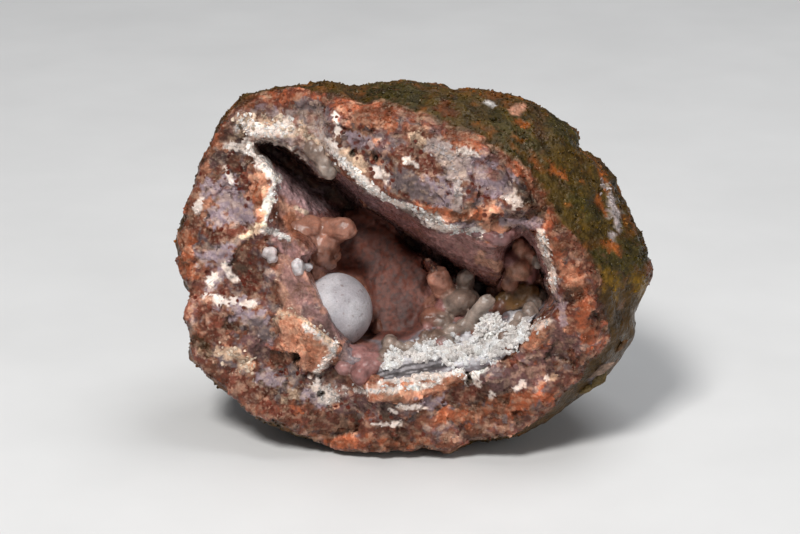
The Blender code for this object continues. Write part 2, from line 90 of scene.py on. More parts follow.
LOWER_STEP = [(-10.5, -11.8), (-8.0, -13.5), (-6.0, -15.5), (-8.6, -16.9), (-12.0, -14.6)]
INNER_BAND = [
    (-6.1, -14.7), (0.2, -13.5), (3.3, -12.7), (5.8, -12.1), (6.8, -13.6), (3.3, -15.7), (-1.7, -17.0),
    (-5.7, -16.9),
]
RIGHT_SLAB = [(12.7, -9.8), (14.0, -7.8), (15.9, -6.7), (17.0, -7.6), (16.7, -9.1), (15.0, -10.6)]
FACE_SLABS = [
    (UPPER_SLAB, 1.1), (WHITE_RECESS, -1.3), (LILAC_DISH, -1.0), (ORANGE_SLAB, 0.9),
    (LOWER_STEP, -1.4), (INNER_BAND, 0.7), (RIGHT_SLAB, 0.8),
]
# Colours that a whole slab takes, and how strongly
SLAB_COLOURS = [
    (WHITE_RECESS, "pale grey", 0.75), (LILAC_DISH, "lilac", 0.85), (ORANGE_SLAB, "peach", 0.8),
    (LOWER_STEP, "mauve", 0.7), (INNER_BAND, "peach", 0.85), (RIGHT_SLAB, "peach", 0.85),
]
# How far the slabs' broken edges stand out
SLAB_LIFTS = [
    (UPPER_SLAB, 0.35), (LILAC_DISH, -0.4), (ORANGE_SLAB, 0.6), (LOWER_STEP, -0.4), (INNER_BAND, 0.5),
    (RIGHT_SLAB, 0.5),
]
# Thin pale veils, and the steps and roughness of the break
VEIL_STRETCH = np.array([0.9, 1.0, 1.2])
LEDGE_SCALE = 0.13
LEDGE_COUNT = 3.0
LEDGE_STEEPNESS = 4.0
LEDGE_HEIGHT = 0.55
ROUGH_SCALE = 0.30
ROUGH_HEIGHT = 0.5
# Facets of the broken face: scale, tilt, height and shift
FACETS = [(0.30, 0.85, 0.5, 0.0), (0.85, 0.28, 0.12, 5.0)]
# Fine relief of the face and the skin: scale, octaves, shift and height in millimetres
FACE_GRAIN = [(1.6, 2, 2.0, 0.08)]
SKIN_BUMPS = [(0.32, 3, 7.0, 0.45), (1.3, 3, 1.0, 0.24)]
SLAB_EDGE_NOISE = [(1.2, 2, 13.0, 0.25)]
SKIN_PIT_SCALE = 0.75
SKIN_PIT_DEPTH = 0.35
# How much the relief fades on slabs, on smooth skin and on the smooth walls of the hollow
SLAB_CALM = 0.75
SMOOTH_SKIN_CALM = 0.6
SMOOTH_WALL_SHARE = 0.55
# Depths of holes and of smaller spots, as shares of their radius in pixels
HOLE_DEPTH = 0.22
SPOT_DEPTH = 0.08
# Heights past this don't change the colours further, where raised relief is painted lighter and pits darker
# as painted light and shade
HEIGHT_LIMIT = 0.8
# The open side keeps more of its faces than the skin does
KEEP_LEVELS = 4
KEEP_FACTOR = 0.6
# A crest and a crack on the face, then each one's height and half width
HOLLOW_CREST = [(-20.5, 15.2), (-19.0, 13.5), (-17.6, 11.3), (-18.0, 9.5), (-17.7, 7.8), (-18.5, 5.5)]
SIDE_CRACK = [(-27.9, -3.7), (-26.0, -1.8), (-24.7, -0.1), (-23.2, 1.2)]
FACE_LINES = [(HOLLOW_CREST, 1.0, 1.1), (SIDE_CRACK, -1.6, 0.6)]
# Outlines of the hollow's walls
LEFT_WALL = [
    (-19.5, 14.5), (-16.7, 12.0), (-14.2, 9.7), (-12.0, 8.0), (-9.8, 6.2), (-7.8, 5.5), (-7.7, 4.3),
    (-9.5, 3.3), (-10.1, 1.9), (-9.5, -0.1), (-12.0, -0.6), (-13.5, -1.2), (-14.2, 0.7), (-16.2, 1.7),
    (-18.2, 3.4), (-18.5, 5.7), (-17.4, 8.5), (-17.7, 9.7), (-16.7, 11.1), (-18.2, 12.8),
]
LOWER_WALL = [
    (-19.0, 1.2), (-16.2, 1.7), (-14.2, 0.7), (-12.0, -0.6), (-9.5, -0.1), (-6.5, -1.2), (-4.6, -5.3),
    (-5.2, -8.6), (-7.7, -10.6), (-9.6, -9.5), (-13.0, -6.8), (-15.5, -5.5), (-18.0, -4.1),
]
BACK_PLATE = [
    (-9.5, 3.3), (-7.7, 4.7), (-8.6, 7.0), (-6.1, 7.6), (-2.6, 5.5), (-0.2, 2.4), (1.9, 0.6), (2.4, -0.8),
    (1.7, -2.8), (0.8, -7.8), (-1.7, -9.1), (-5.2, -8.6), (-4.6, -5.3), (-6.5, -1.2), (-9.5, -0.3),
    (-10.1, 1.9),
]
SLOT = [
    (-20.1, 15.6), (-18.0, 15.7), (-15.9, 15.0), (-13.8, 13.5), (-12.5, 12.1), (-11.5, 11.2),
    (-9.7, 11.2), (-7.7, 9.7), (-6.1, 7.6), (-8.6, 7.0), (-7.7, 5.2), (-9.8, 6.2), (-12.0, 8.0),
    (-14.2, 9.7), (-16.7, 12.0), (-19.5, 14.5),
]
CREVICE = [
    (-6.1, 8.1), (-2.7, 5.8), (0.8, 3.4), (4.6, 0.7), (8.3, -1.7), (10.6, -3.2), (9.3, -4.1), (7.1, -2.8),
    (5.2, -0.6), (3.1, 0.4), (-0.2, 2.4), (-2.6, 5.2),
]
CEILING = [
    (-10.0, 12.3), (-8.0, 11.0), (-5.5, 9.3), (-1.7, 7.5), (1.8, 4.9), (3.1, 4.3), (6.2, 4.6), (8.3, 3.3),
    (10.5, 2.6), (11.5, 0.7), (10.6, -3.2), (8.3, -1.7), (4.6, 0.7), (0.8, 3.4), (-2.7, 5.8), (-6.1, 8.1),
    (-9.7, 11.2),
]
POCKET = [
    (10.5, 2.6), (12.2, 3.4), (12.6, 4.8), (14.3, 4.6), (15.4, 3.3), (16.0, 1.4), (17.0, -0.6),
    (16.5, -2.1), (13.3, -2.2), (11.5, -3.2), (10.6, -3.2), (11.5, 0.7),
]
FLOOR = [
    (1.7, -2.8), (2.4, -0.8), (3.9, 0.1), (7.1, -2.8), (9.3, -4.1), (10.6, -3.2), (13.3, -2.2),
    (16.5, -2.1), (18.0, -4.1), (16.5, -5.3), (14.3, -7.2), (12.7, -9.7), (10.8, -11.2), (7.7, -12.3),
    (3.3, -12.6), (0.2, -13.2), (-2.9, -13.8), (-6.1, -14.6), (-8.0, -13.3), (-9.7, -11.7), (-8.5, -9.1),
    (-5.2, -8.6), (-1.7, -9.1), (0.8, -7.8),
]
# Walls of the hollow: outline, depth in the middle, slopes along x and y, colour
HOLLOW_WALLS = [
    (LEFT_WALL, -7.8, -0.60, 0.0, "pink"), (LOWER_WALL, -9.4, -0.70, 0.0, "rosy"),
    (BACK_PLATE, -7.0, 0.0, -0.25, "plate"), (SLOT, -13.0, -0.30, 0.0, "shade"),
    (CREVICE, -13.0, 0.0, 0.0, "shade"), (CEILING, -5.7, 0.85, 1.8, "deep pink"),
    (POCKET, -3.0, 0.0, 0.3, "pink"), (FLOOR, -10.3, 0.0, -1.10, "grey"),
]

# Colours, as eye values from 0 to 255
PALETTE = {
    "mauve": (116, 90, 92), "clay": (132, 88, 72), "orange": (162, 100, 72), "peach": (200, 150, 126),
    "cream": (222, 198, 176), "white": (244, 238, 234), "lilac": (162, 150, 160), "grey": (124, 114, 118),
    "rust": (100, 44, 30), "brick": (114, 68, 56), "brown": (96, 62, 40), "dark": (34, 24, 20),
    "pink": (166, 124, 120), "deep pink": (132, 88, 84), "plate": (102, 47, 29), "shade": (66, 46, 42),
    "olive": (90, 73, 38), "moss": (72, 64, 34), "dark olive": (84, 62, 22), "gold olive": (128, 102, 44),
    "skin brown": (88, 60, 36), "druse": (214, 212, 216), "speck": (88, 30, 20),
    "pale grey": (176, 164, 162), "waxy brown": (124, 102, 90), "rosy brown": (118, 78, 64),
    "dark pink": (80, 48, 43), "rosy tan": (160, 112, 94), "pale mauve": (166, 138, 140),
    "ochre": (152, 114, 72), "rosy": (184, 136, 120), "ochre brown": (122, 90, 56),
    "deep olive": (84, 62, 24), "ball grey": (178, 173, 178), "waxy grey": (160, 146, 136),
}

# Patches of clear stone, where the fine mottling is faint
CLEAR_COLOURS = {"white", "lilac", "pale grey", "grey"}
# Patches of the skin that don't take its yellow tone
PALE_COLOURS = {"white", "pale grey", "grey", "peach"}
# A tone curve and tints over whole parts of the stone; the tint toward the right side of the face also
# darkens it as painted shade
FACE_DEEPENING = 1.2
FACE_WARMTH = np.array([1.04, 0.96, 0.92])
RIGHT_WARMTH_AND_SHADE = np.array([0.95, 0.84, 0.78])
SKIN_WARMTH = np.array([1.0, 0.92, 0.32])

# Patches on the broken face: colour, pixel at each end, half width in pixels
FACE_PATCHES = [
    ("clay", 200, 160, 185, 235, 12), ("orange", 182, 232, 186, 270, 9),
    ("orange", 203, 165, 228, 120, 5), ("orange", 248, 99, 300, 93, 9), ("orange", 300, 96, 335, 92, 8),
    ("brick", 262, 105, 325, 116, 7), ("peach", 206, 166, 220, 150, 7), ("peach", 205, 214, 206, 196, 6),
    ("cream", 236, 124, 232, 142, 7), ("pale grey", 245, 122, 288, 128, 13),
    ("white", 262, 136, 276, 132, 9), ("white", 228, 145, 250, 148, 6), ("lilac", 262, 110, 275, 113, 6),
    ("grey", 303, 108, 320, 116, 8), ("grey", 318, 120, 324, 142, 8), ("lilac", 286, 136, 302, 146, 8),
    ("white", 303, 130, 318, 138, 6), ("white", 276, 144, 310, 162, 4), ("orange", 306, 131, 312, 138, 3),
    ("grey", 312, 164, 331, 171, 7), ("mauve", 222, 154, 214, 162, 6), ("lilac", 207, 188, 234, 186, 9),
    ("lilac", 227, 205, 246, 212, 11), ("lilac", 212, 214, 222, 220, 7), ("white", 197, 210, 200, 204, 4),
    ("white", 226, 168, 230, 180, 3), ("brick", 238, 168, 248, 188, 5), ("peach", 258, 180, 263, 216, 10),
    ("orange", 256, 184, 260, 205, 5), ("cream", 240, 236, 262, 228, 5), ("white", 250, 148, 262, 160, 4),
    ("white", 262, 160, 277, 178, 6), ("white", 275, 176, 275, 197, 5), ("white", 270, 196, 269, 222, 5),
    ("brick", 215, 242, 240, 229, 5), ("rust", 216, 238, 222, 232, 3), ("lilac", 204, 262, 229, 250, 6),
    ("lilac", 232, 256, 206, 290, 4), ("white", 207, 286, 216, 272, 4), ("brick", 240, 262, 252, 290, 11),
    ("clay", 186, 290, 208, 300, 6), ("white", 235, 300, 251, 302, 4), ("white", 206, 296, 228, 303, 3.5),
    ("lilac", 214, 254, 226, 268, 5), ("white", 224, 266, 236, 280, 3), ("lilac", 238, 312, 256, 318, 10),
    ("grey", 256, 326, 267, 336, 7), ("brick", 203, 308, 216, 322, 9), ("brick", 208, 330, 226, 342, 7),
    ("skin brown", 195, 338, 205, 352, 5), ("peach", 227, 350, 248, 362, 6),
    ("grey", 222, 358, 236, 368, 5), ("mauve", 250, 340, 264, 354, 8), ("lilac", 264, 376, 281, 380, 7),
    ("brick", 224, 380, 262, 396, 9), ("cream", 284, 398, 298, 396, 5), ("orange", 292, 403, 299, 410, 4),
    ("brick", 262, 406, 292, 416, 7), ("grey", 290, 368, 297, 380, 5), ("white", 318, 386, 334, 396, 11),
    ("lilac", 308, 394, 320, 404, 5), ("peach", 333, 401, 339, 408, 5), ("peach", 291, 320, 302, 346, 12),
    ("orange", 304, 328, 319, 346, 6), ("peach", 321, 346, 331, 352, 7), ("cream", 290, 312, 299, 319, 4),
    ("white", 304, 325, 334, 343, 2), ("mauve", 303, 364, 320, 372, 6), ("rust", 294, 358, 294, 359, 6),
    ("brick", 300, 416, 346, 422, 9), ("mauve", 345, 404, 402, 412, 9), ("orange", 328, 441, 424, 446, 7),
    ("brick", 350, 426, 402, 436, 7), ("white", 371, 424, 399, 424, 2.4),
    ("white", 400, 407, 428, 407, 2.4), ("peach", 350, 424, 353, 434, 3),
    ("white", 388, 408, 396, 412, 2.4), ("peach", 336, 362, 362, 386, 6),
    ("white", 338, 365, 360, 384, 2), ("white", 372, 389, 402, 386, 5), ("peach", 395, 389, 442, 384, 8),
    ("orange", 424, 385, 462, 378, 6), ("white", 398, 377, 456, 366, 3), ("white", 456, 371, 471, 380, 6),
    ("lilac", 424, 404, 452, 398, 6), ("peach", 528, 331, 546, 340, 8), ("orange", 534, 341, 541, 349, 5),
    ("white", 514, 336, 546, 323, 3), ("mauve", 478, 386, 532, 375, 9), ("white", 480, 384, 493, 396, 3),
    ("white", 504, 399, 522, 384, 3), ("white", 546, 377, 546, 378, 2.5),
    ("cream", 553, 377, 554, 378, 3.5), ("brick", 454, 397, 482, 390, 8),
    ("orange", 446, 414, 522, 406, 9), ("orange", 520, 401, 552, 396, 7),
    ("mauve", 544, 356, 566, 340, 10), ("grey", 560, 355, 571, 363, 6), ("brick", 574, 360, 580, 366, 7),
    ("orange", 570, 274, 583, 300, 9), ("orange", 583, 310, 585, 340, 8),
    ("brick", 559, 290, 570, 310, 7), ("lilac", 560, 305, 563, 322, 4), ("peach", 555, 258, 576, 280, 7),
    ("orange", 548, 224, 556, 256, 6), ("orange", 543, 180, 549, 222, 6),
    ("mauve", 552, 328, 561, 346, 7), ("peach", 500, 357, 512, 352, 4),
    ("orange", 345, 105, 382, 110, 13), ("orange", 372, 118, 392, 124, 7),
    ("white", 335, 117, 338, 136, 4), ("white", 330, 146, 346, 160, 6), ("cream", 344, 155, 361, 166, 7),
    ("white", 342, 162, 376, 193, 3.4), ("white", 376, 194, 401, 206, 3),
    ("peach", 355, 124, 366, 140, 7), ("lilac", 350, 138, 366, 143, 6), ("white", 375, 172, 388, 177, 4),
    ("peach", 371, 158, 380, 162, 4), ("grey", 394, 176, 432, 196, 9), ("lilac", 430, 180, 447, 192, 10),
    ("lilac", 438, 206, 457, 210, 5), ("white", 455, 174, 461, 216, 2.6),
    ("pale grey", 430, 146, 461, 170, 10), ("white", 465, 152, 474, 166, 6),
    ("cream", 414, 137, 423, 142, 4), ("brick", 404, 158, 430, 166, 10), ("white", 407, 160, 416, 164, 3),
    ("orange", 450, 133, 496, 148, 6), ("orange", 500, 140, 526, 150, 6),
    ("orange", 516, 170, 541, 196, 8), ("orange", 500, 150, 516, 168, 6),
    ("lilac", 480, 164, 500, 186, 12), ("mauve", 500, 174, 516, 190, 7), ("white", 505, 190, 516, 201, 6),
    ("rust", 474, 178, 488, 197, 3), ("peach", 440, 214, 500, 211, 6), ("orange", 478, 214, 492, 222, 5),
    ("peach", 488, 225, 502, 231, 7), ("orange", 418, 205, 470, 218, 3), ("white", 420, 222, 456, 232, 3),
    ("lilac", 448, 226, 472, 229, 3), ("lilac", 504, 222, 536, 223, 5), ("white", 540, 234, 547, 262, 3),
    ("lilac", 546, 262, 557, 302, 5), ("dark", 538, 213, 545, 206, 3), ("brown", 528, 201, 542, 210, 4),
    # The dark stroke at pixels 466 to 470, 369 to 381 is painted shade inside a hole
    ("white", 462, 366, 474, 380, 4), ("dark", 466, 369, 470, 381, 1.7),
]
# Small dark spots and holes on the face: pixel and radius in pixels. The holes are painted near black as
# painted shade inside them
DARK_SPOTS = [
    (352, 153, 3.2), (321, 394, 3.4), (405, 196, 2.6), (294, 358, 5.0), (467, 372, 3.0), (469, 379, 3.0),
    (279, 400, 2.6), (286, 395, 2.4), (271, 404, 2.4), (238, 169, 2.8), (244, 180, 2.6), (249, 184, 2.4),
    (240, 188, 2.2), (247, 190, 2.2), (246, 207, 2.0), (226, 182, 2.0), (213, 178, 1.8), (232, 152, 2.2),
    (355, 142, 2.2), (366, 147, 2.0), (374, 158, 3.0), (387, 172, 2.2), (391, 165, 2.0), (371, 130, 2.0),
    (343, 128, 2.4), (360, 127, 1.8), (384, 141, 2.4), (350, 118, 1.8), (340, 114, 1.6), (431, 163, 2.0),
    (478, 196, 2.6), (486, 210, 2.0), (488, 197, 2.4), (493, 216, 1.8), (447, 193, 2.0), (438, 187, 1.6),
    (262, 262, 2.2), (263, 270, 2.4), (240, 288, 2.2), (246, 276, 2.4), (252, 292, 2.6), (208, 272, 2.2),
    (222, 292, 2.2), (512, 364, 2.2), (522, 391, 2.2), (575, 377, 2.0), (307, 374, 2.0), (281, 372, 2.0),
]
# Where the small red specks lie: pixel at each end, half width
SPECK_PATCHES = [
    (230, 168, 248, 194, 14), (338, 118, 392, 178, 20), (412, 146, 430, 170, 14),
    (470, 184, 492, 206, 12), (240, 258, 254, 290, 13), (212, 236, 236, 232, 10), (480, 206, 496, 216, 9),
    (200, 296, 240, 304, 9), (270, 366, 300, 378, 9), (268, 400, 310, 420, 10), (330, 405, 420, 430, 10),
    (200, 178, 222, 182, 8),
]
# Patches on the skin
SKIN_PATCHES = [
    ("moss", 380, 92, 420, 96, 12), ("olive", 440, 110, 500, 120, 16), ("moss", 500, 124, 530, 140, 12),
    ("olive", 545, 130, 560, 150, 14), ("moss", 555, 120, 572, 140, 8),
    ("peach", 512, 111, 522, 108, 3.5), ("orange", 518, 122, 526, 125, 3),
    ("skin brown", 538, 128, 541, 136, 4), ("orange", 532, 158, 537, 166, 3),
    ("brick", 440, 108, 455, 112, 6), ("moss", 505, 152, 520, 160, 6), ("olive", 560, 175, 590, 200, 24),
    ("olive", 560, 215, 600, 230, 18), ("moss", 575, 195, 590, 212, 9), ("orange", 552, 168, 562, 176, 4),
    ("moss", 600, 262, 640, 256, 16), ("gold olive", 600, 276, 618, 290, 10),
    # The deep olive patches at the lower right are partly the skin's own colour and partly painted shade
    ("gold olive", 636, 280, 645, 292, 7), ("deep olive", 606, 310, 622, 340, 20),
    ("deep olive", 560, 395, 600, 372, 18), ("deep olive", 480, 432, 545, 420, 14),
    ("brick", 650, 264, 653, 288, 4), ("pale grey", 604, 182, 618, 226, 4),
    ("orange", 603, 174, 606, 192, 3), ("orange", 597, 196, 606, 216, 3),
    ("pale grey", 612, 234, 614, 241, 3), ("orange", 605, 243, 617, 251, 4),
    # The white stroke at pixels 489 to 493, 104 is a painted highlight, a glint on the skin
    ("white", 489, 104, 493, 104, 2), ("grey", 594, 378, 608, 366, 4), ("white", 470, 432, 486, 433, 1.6),
    ("white", 522, 424, 532, 420, 1.6),
]
# Patches in the hollow
HOLLOW_PATCHES = [
    ("rosy tan", 284, 212, 306, 234, 14), ("deep pink", 302, 196, 332, 216, 10),
    ("pink", 276, 176, 292, 196, 8), ("pale mauve", 284, 178, 318, 206, 11),
    ("white", 262, 160, 278, 180, 4), ("white", 262, 228, 288, 238, 3), ("clay", 318, 226, 330, 236, 9),
    ("peach", 280, 204, 292, 212, 4), ("orange", 288, 218, 298, 236, 6),
    ("cream", 296, 208, 306, 213, 2.5), ("brick", 276, 212, 280, 224, 4),
    ("peach", 300, 222, 306, 230, 3), ("brick", 300, 236, 306, 244, 4), ("peach", 268, 272, 284, 290, 9),
    ("pink", 290, 278, 306, 300, 10), ("mauve", 312, 310, 336, 336, 8), ("mauve", 346, 185, 372, 205, 8),
    ("pink", 440, 238, 500, 262, 12), ("peach", 480, 258, 500, 268, 6), ("pink", 512, 234, 534, 248, 10),
    ("clay", 500, 285, 540, 300, 12), ("white", 540, 288, 528, 296, 3),
]
# The frosted ball: x, y, radius, height of its middle above the hollow's wall
BALL = (-10.0, -5.4, 4.9, 0.6)
# Tones of the crust's lumps, each between two colours: white, grey, rosy, tan, ochre, peach, mauve
TONES = [
    ("pale grey", "druse"), ("waxy brown", "waxy grey"), ("deep pink", "pink"), ("rosy brown", "rosy tan"),
    ("ochre brown", "ochre"), ("rosy tan", "peach"), ("deep pink", "mauve"),
]
WHITE_TONE = 0
# How bumpy the knobs are, how deep for their radius, and how much each one varies
WHITE_BUMPINESS = 0.3
BUMPINESS = 0.16
SMALL_BUMPINESS = 0.14
KNOB_DEPTH = 1.2
KNOB_JITTER = 0.12
KNOB_RANGE = (0.85, 1.15)
# Round knobs: x, y, radius, height of the middle above the hollow's wall, tone
ROUND_KNOBS = [
    (-9.9, 4.3, 1.5, 0.9, 3), (-11.4, 3.1, 2.0, 0.1, 3), (-13.0, 4.8, 2.0, -0.5, 3),
    (-11.6, 1.5, 1.7, 0.5, 3), (-13.2, 2.6, 2.0, -0.6, 3), (-10.4, 2.6, 1.2, 0.9, 3),
    (-10.7, 0.6, 1.2, 0.9, 3), (-9.8, 1.6, 0.9, 0.9, 3), (-14.6, 3.9, 2.1, -1.5, 3),
    (-14.3, 3.4, 1.3, 0.0, 3), (-14.5, 0.1, 0.9, 3.6, 0), (-13.5, -0.2, 0.7, 2.6, 0),
    (-18.0, 1.8, 0.9, 0.5, 0), (-17.8, 1.1, 0.7, 0.6, 0), (-14.2, 1.4, 1.1, 0.4, 2),
    (6.1, -4.5, 1.75, 2.6, 1), (4.9, -5.0, 1.2, 1.9, 1), (7.3, -3.7, 1.1, 2.2, 1),
    (8.3, -2.3, 0.7, 2.6, 1), (3.4, -5.3, 1.0, 1.6, 2), (2.4, -6.4, 1.5, 0.9, 3),
    (3.8, -7.0, 1.3, 1.0, 1), (7.9, -7.3, 1.2, 1.1, 1), (4.9, -8.0, 1.1, 0.8, 1),
    (6.4, -7.2, 1.1, 1.0, 1), (2.9, -8.6, 1.1, 0.7, 1), (1.4, -9.1, 1.2, 0.6, 1),
    (9.6, -6.9, 1.15, 2.3, 0), (8.9, -8.0, 1.0, 1.9, 0), (10.4, -7.9, 1.0, 1.8, 0),
    (-2.9, -9.6, 1.1, 0.9, 1), (-1.7, -10.1, 0.95, 0.9, 1), (-0.6, -10.3, 1.0, 0.8, 1),
    (-3.5, -10.7, 0.9, 0.9, 1), (0.5, -10.1, 0.8, 0.7, 1), (12.0, 1.0, 1.4, 1.9, 2),
    (13.2, 2.5, 1.3, 1.6, 5), (14.6, 1.6, 1.3, 1.4, 5), (13.2, 0.0, 1.6, 2.2, 5),
    (12.0, -1.4, 1.2, 1.7, 5), (14.8, -0.6, 1.2, 1.5, 2), (15.6, 0.6, 0.9, 1.2, 1),
    (9.2, 4.0, 1.1, -0.8, 6), (8.0, 4.6, 0.9, -0.8, 6), (10.4, 3.6, 1.1, -0.7, 6),
    (11.4, 3.8, 1.0, -0.6, 6), (12.0, 4.6, 0.9, -0.5, 6), (-4.5, -7.6, 1.1, 0.3, 3),
    (10.0, -3.0, 1.1, 1.2, 3), (10.9, -5.3, 1.2, 1.1, 3), (10.4, -6.4, 0.9, 1.0, 3),
    (9.6, -4.9, 0.9, 1.3, 1), (-8.7, -10.8, 1.6, 0.0, 2), (-7.2, -11.4, 2.1, -0.4, 2),
    (-5.4, -11.4, 1.5, 0.0, 2), (-5.4, -12.4, 1.8, -0.2, 2), (-4.4, -11.9, 1.1, 0.2, 1),
    (-8.6, -12.2, 1.3, 0.1, 2), (-6.6, -13.2, 1.3, 0.0, 2), (11.6, -8.9, 1.05, 1.1, 1),
    (12.5, -7.7, 1.2, 1.5, 1), (13.5, -6.7, 1.25, 1.6, 1), (14.4, -5.8, 1.2, 1.6, 1),
    (15.2, -4.9, 1.15, 1.6, 1), (16.0, -4.0, 1.05, 1.4, 1), (14.4, -4.7, 0.8, 1.0, 1),
    (16.2, -3.0, 0.8, 0.8, 1), (-10.6, 12.2, 0.9, -0.2, 1),
]
# Fingers: root x, y, tip x, y, root radius, tip radius, height of root and tip above the wall, tone
FINGERS = [
    (4.3, -3.9, 3.2, -1.5, 1.4, 1.6, 2.0, 3.8, 3), (-10.9, 4.9, -8.6, 4.9, 1.6, 1.3, 0.8, 2.4, 3),
    (7.1, -6.8, 9.1, -4.2, 1.05, 0.95, 2.0, 3.6, 1), (6.3, -3.2, 6.6, -1.2, 1.1, 1.2, 1.6, 4.0, 1),
]
BLOCK_SQUARENESS = 0.62
# Blocky lumps: x, y, half sizes along x, y and depth, turn in degrees, height above the wall, tone
BLOCKS = [
    (13.0, -3.7, 2.8, 1.5, 1.5, 22.0, 2.5, 4), (-11.4, 13.4, 0.95, 2.2, 1.0, 18.0, 0.0, 1),
    (-12.6, 14.6, 1.0, 1.3, 0.8, 40.0, -0.1, 1),
]
# Small knobs scattered on the floor: how many are tried, their area, and their tones
SMALL_KNOBS = 110
SMALL_KNOB_AREA = ((-3.5, 16.0), (-11.0, 2.0))
SMALL_KNOB_TONES = [1, 1, 2, 3]
# The sheet of the crust over the floor: its grid's area, its height over the wall and depth under it,
# and its outline
BED_AREA = ((-14.0, 18.0), (-15.0, 8.0))
BED_TOP = 0.85
BED_BOTTOM = 1.0
BED = [
    (-10.4, 6.2), (-7.4, 6.0), (-2.8, 4.4), (-0.8, 1.8), (1.4, 0.1), (4.6, -0.6), (7.4, -2.4),
    (10.4, -2.4), (11.8, 0.6), (12.3, 2.6), (14.6, 3.4), (15.6, 0.8), (16.2, -1.6), (16.9, -4.2),
    (14.5, -7.0), (12.9, -9.8), (11.0, -11.6), (7.7, -13.1), (3.3, -13.4), (-2.9, -14.8), (-6.4, -15.3),
    (-9.0, -11.6), (-10.5, -8.5), (-12.8, -5.0), (-12.6, -1.6), (-13.2, 1.2), (-12.4, 3.4),
]
# A corner of the plate that the sheet leaves free: middle and radius
PLATE_CORNER = (2.2, 0.5, 1.1)
# The band of crystals: its line, its spread along x and y, and how much the crystals lean
DRUSE_LINE = [
    (-3.6, -12.6), (-1.7, -11.9), (1.5, -10.8), (4.6, -10.4), (8.2, -10.2), (10.8, -9.5), (12.6, -8.7),
    (14.0, -7.4),
]
DRUSE_SPREAD = (0.3, 0.7)
DRUSE_LEAN = 0.35
# Tufts of crystals on knobs: middle, radius, height of the tuft's middle above the wall, number
DRUSE_TUFTS = [
    (9.6, -6.9, 1.25, 2.3, 150), (8.9, -8.0, 1.1, 1.9, 110), (10.6, -7.8, 1.1, 2.2, 110),
    (-2.6, -11.0, 0.9, 0.9, 50), (12.4, -8.4, 0.9, 3.4, 60),
]
TUFT_SIZES = (0.2, 0.55)
# The crust's rise along the front edge: its line, height, reach, and how much higher it is at the right
FRONT_EDGE = [
    (-6.1, -14.4), (-2.9, -13.6), (0.2, -13.0), (3.3, -12.4), (5.8, -11.9), (7.7, -12.1), (10.8, -11.0),
    (12.7, -9.5), (14.3, -7.2),
]
FRONT_RISE = 1.7
FRONT_REACH = (2.4, 0.3)
RIGHT_RISE = 1.5
# A ledge with thin dark bands along the front edge: its right end, its width and the bands' rate
LEDGE_END = 3.6
LEDGE_WIDTH = 1.15
STRIPE_RATE = 9.0
DRUSE_CRYSTALS = 3400
# The swell of the lower wall in front of the ball: a line, its half width and its height
SWELL_LINE = [(-14.9, 0.9), (-13.8, -1.2), (-12.6, -3.6), (-11.4, -5.4), (-10.3, -7.4), (-8.6, -9.6)]
SWELL_WIDTH = 2.3
SWELL_HEIGHT = 6.5
# The swell is narrow on the side of the ball, which these corners close off
SWELL_BALL_WIDTH = 0.7
BALL_SIDE = [SWELL_LINE[0], (4.0, 8.0), (4.0, -16.0), *SWELL_LINE[:0:-1]]
# The dip of the floor beside the ball: middle, radius and depth
BALL_DIP = (-6.4, -9.2, 2.7, 2.2)
# Rows of small chips along edges: colour, count, spread and size in millimetres, then pixels along the row
EDGE_ROWS = [
    ("white", 200, 0.30, 0.42, [(333, 152), (345, 164), (360, 180), (376, 193), (401, 205), (420, 212)]),
    ("white", 120, 0.30, 0.40, [(420, 212), (440, 222), (456, 231), (480, 232)]),
    ("white", 90, 0.30, 0.40, [(244, 148), (262, 162), (276, 176), (277, 196), (270, 222)]),
    ("cream", 90, 0.50, 0.50, [(240, 122), (256, 118), (276, 124), (292, 132)]),
    ("white", 170, 0.75, 0.36, [(242, 124), (258, 130), (276, 132), (290, 126)]),
    ("white", 60, 0.25, 0.34, [(262, 228), (276, 232), (288, 238)]),
    ("white", 70, 0.35, 0.40, [(540, 234), (546, 250), (550, 270), (552, 290)]),
    ("white", 60, 0.55, 0.34, [(318, 386), (330, 390), (336, 396), (322, 398)]),
    ("white", 110, 0.45, 0.40, [(398, 378), (430, 373), (456, 367), (470, 374), (484, 366)]),
    ("white", 90, 0.35, 0.38, [(512, 337), (528, 330), (546, 322)]),
    ("pale grey", 70, 0.40, 0.40, [(440, 150), (452, 166), (458, 188), (456, 210)]),
    ("pale grey", 60, 0.50, 0.42, [(430, 142), (450, 154), (466, 160)]),
    ("cream", 70, 0.40, 0.40, [(300, 128), (312, 140), (322, 156), (330, 168)]),
    ("white", 50, 0.35, 0.36, [(304, 326), (318, 332), (334, 344)]),
    ("cream", 70, 0.60, 0.42, [(222, 352), (240, 358), (252, 366)]),
    ("pale grey", 40, 0.35, 0.40, [(604, 184), (611, 200), (618, 224)]),
    ("white", 120, 0.35, 0.40, [(384, 380), (410, 381), (440, 376), (462, 371), (486, 362), (506, 350)]),
    ("cream", 60, 0.25, 0.34, [(275, 320), (292, 311), (312, 326), (336, 343)]),
    ("white", 50, 0.22, 0.30, [(337, 345), (331, 357), (318, 371)]),
    ("white", 60, 0.25, 0.32, [(344, 388), (372, 392), (402, 387), (440, 382)]),
]
# Leaf-shaped flakes on the skin: pixel, half length and half width in millimetres, turn, colour
FLAKES = [
    (600, 369, 1.9, 0.6, 34.0, "waxy brown"), (598, 377, 1.6, 0.9, 58.0, "olive"),
    (586, 388, 1.3, 0.5, 30.0, "olive"), (620, 345, 1.2, 0.45, 50.0, "skin brown"),
]
# The share of each row's chips that is made
EDGE_SHARE = 0.6
# Spots from this radius up are holes, and the smaller ones are specks
HOLE_RADIUS = 2.9
# No chip or grain lies lower than this on the stone
CHIP_FREE_HEIGHT = 1.6
CHIP_SHAPES = 24
EDGE_SHAPES = 16
# Seeds of the random choices, and of the noise that gives each facet its tilt
NOISE_SEED = 7
EDGE_SEED = 29
KNOB_SEED = 5
DRUSE_SEED = 17
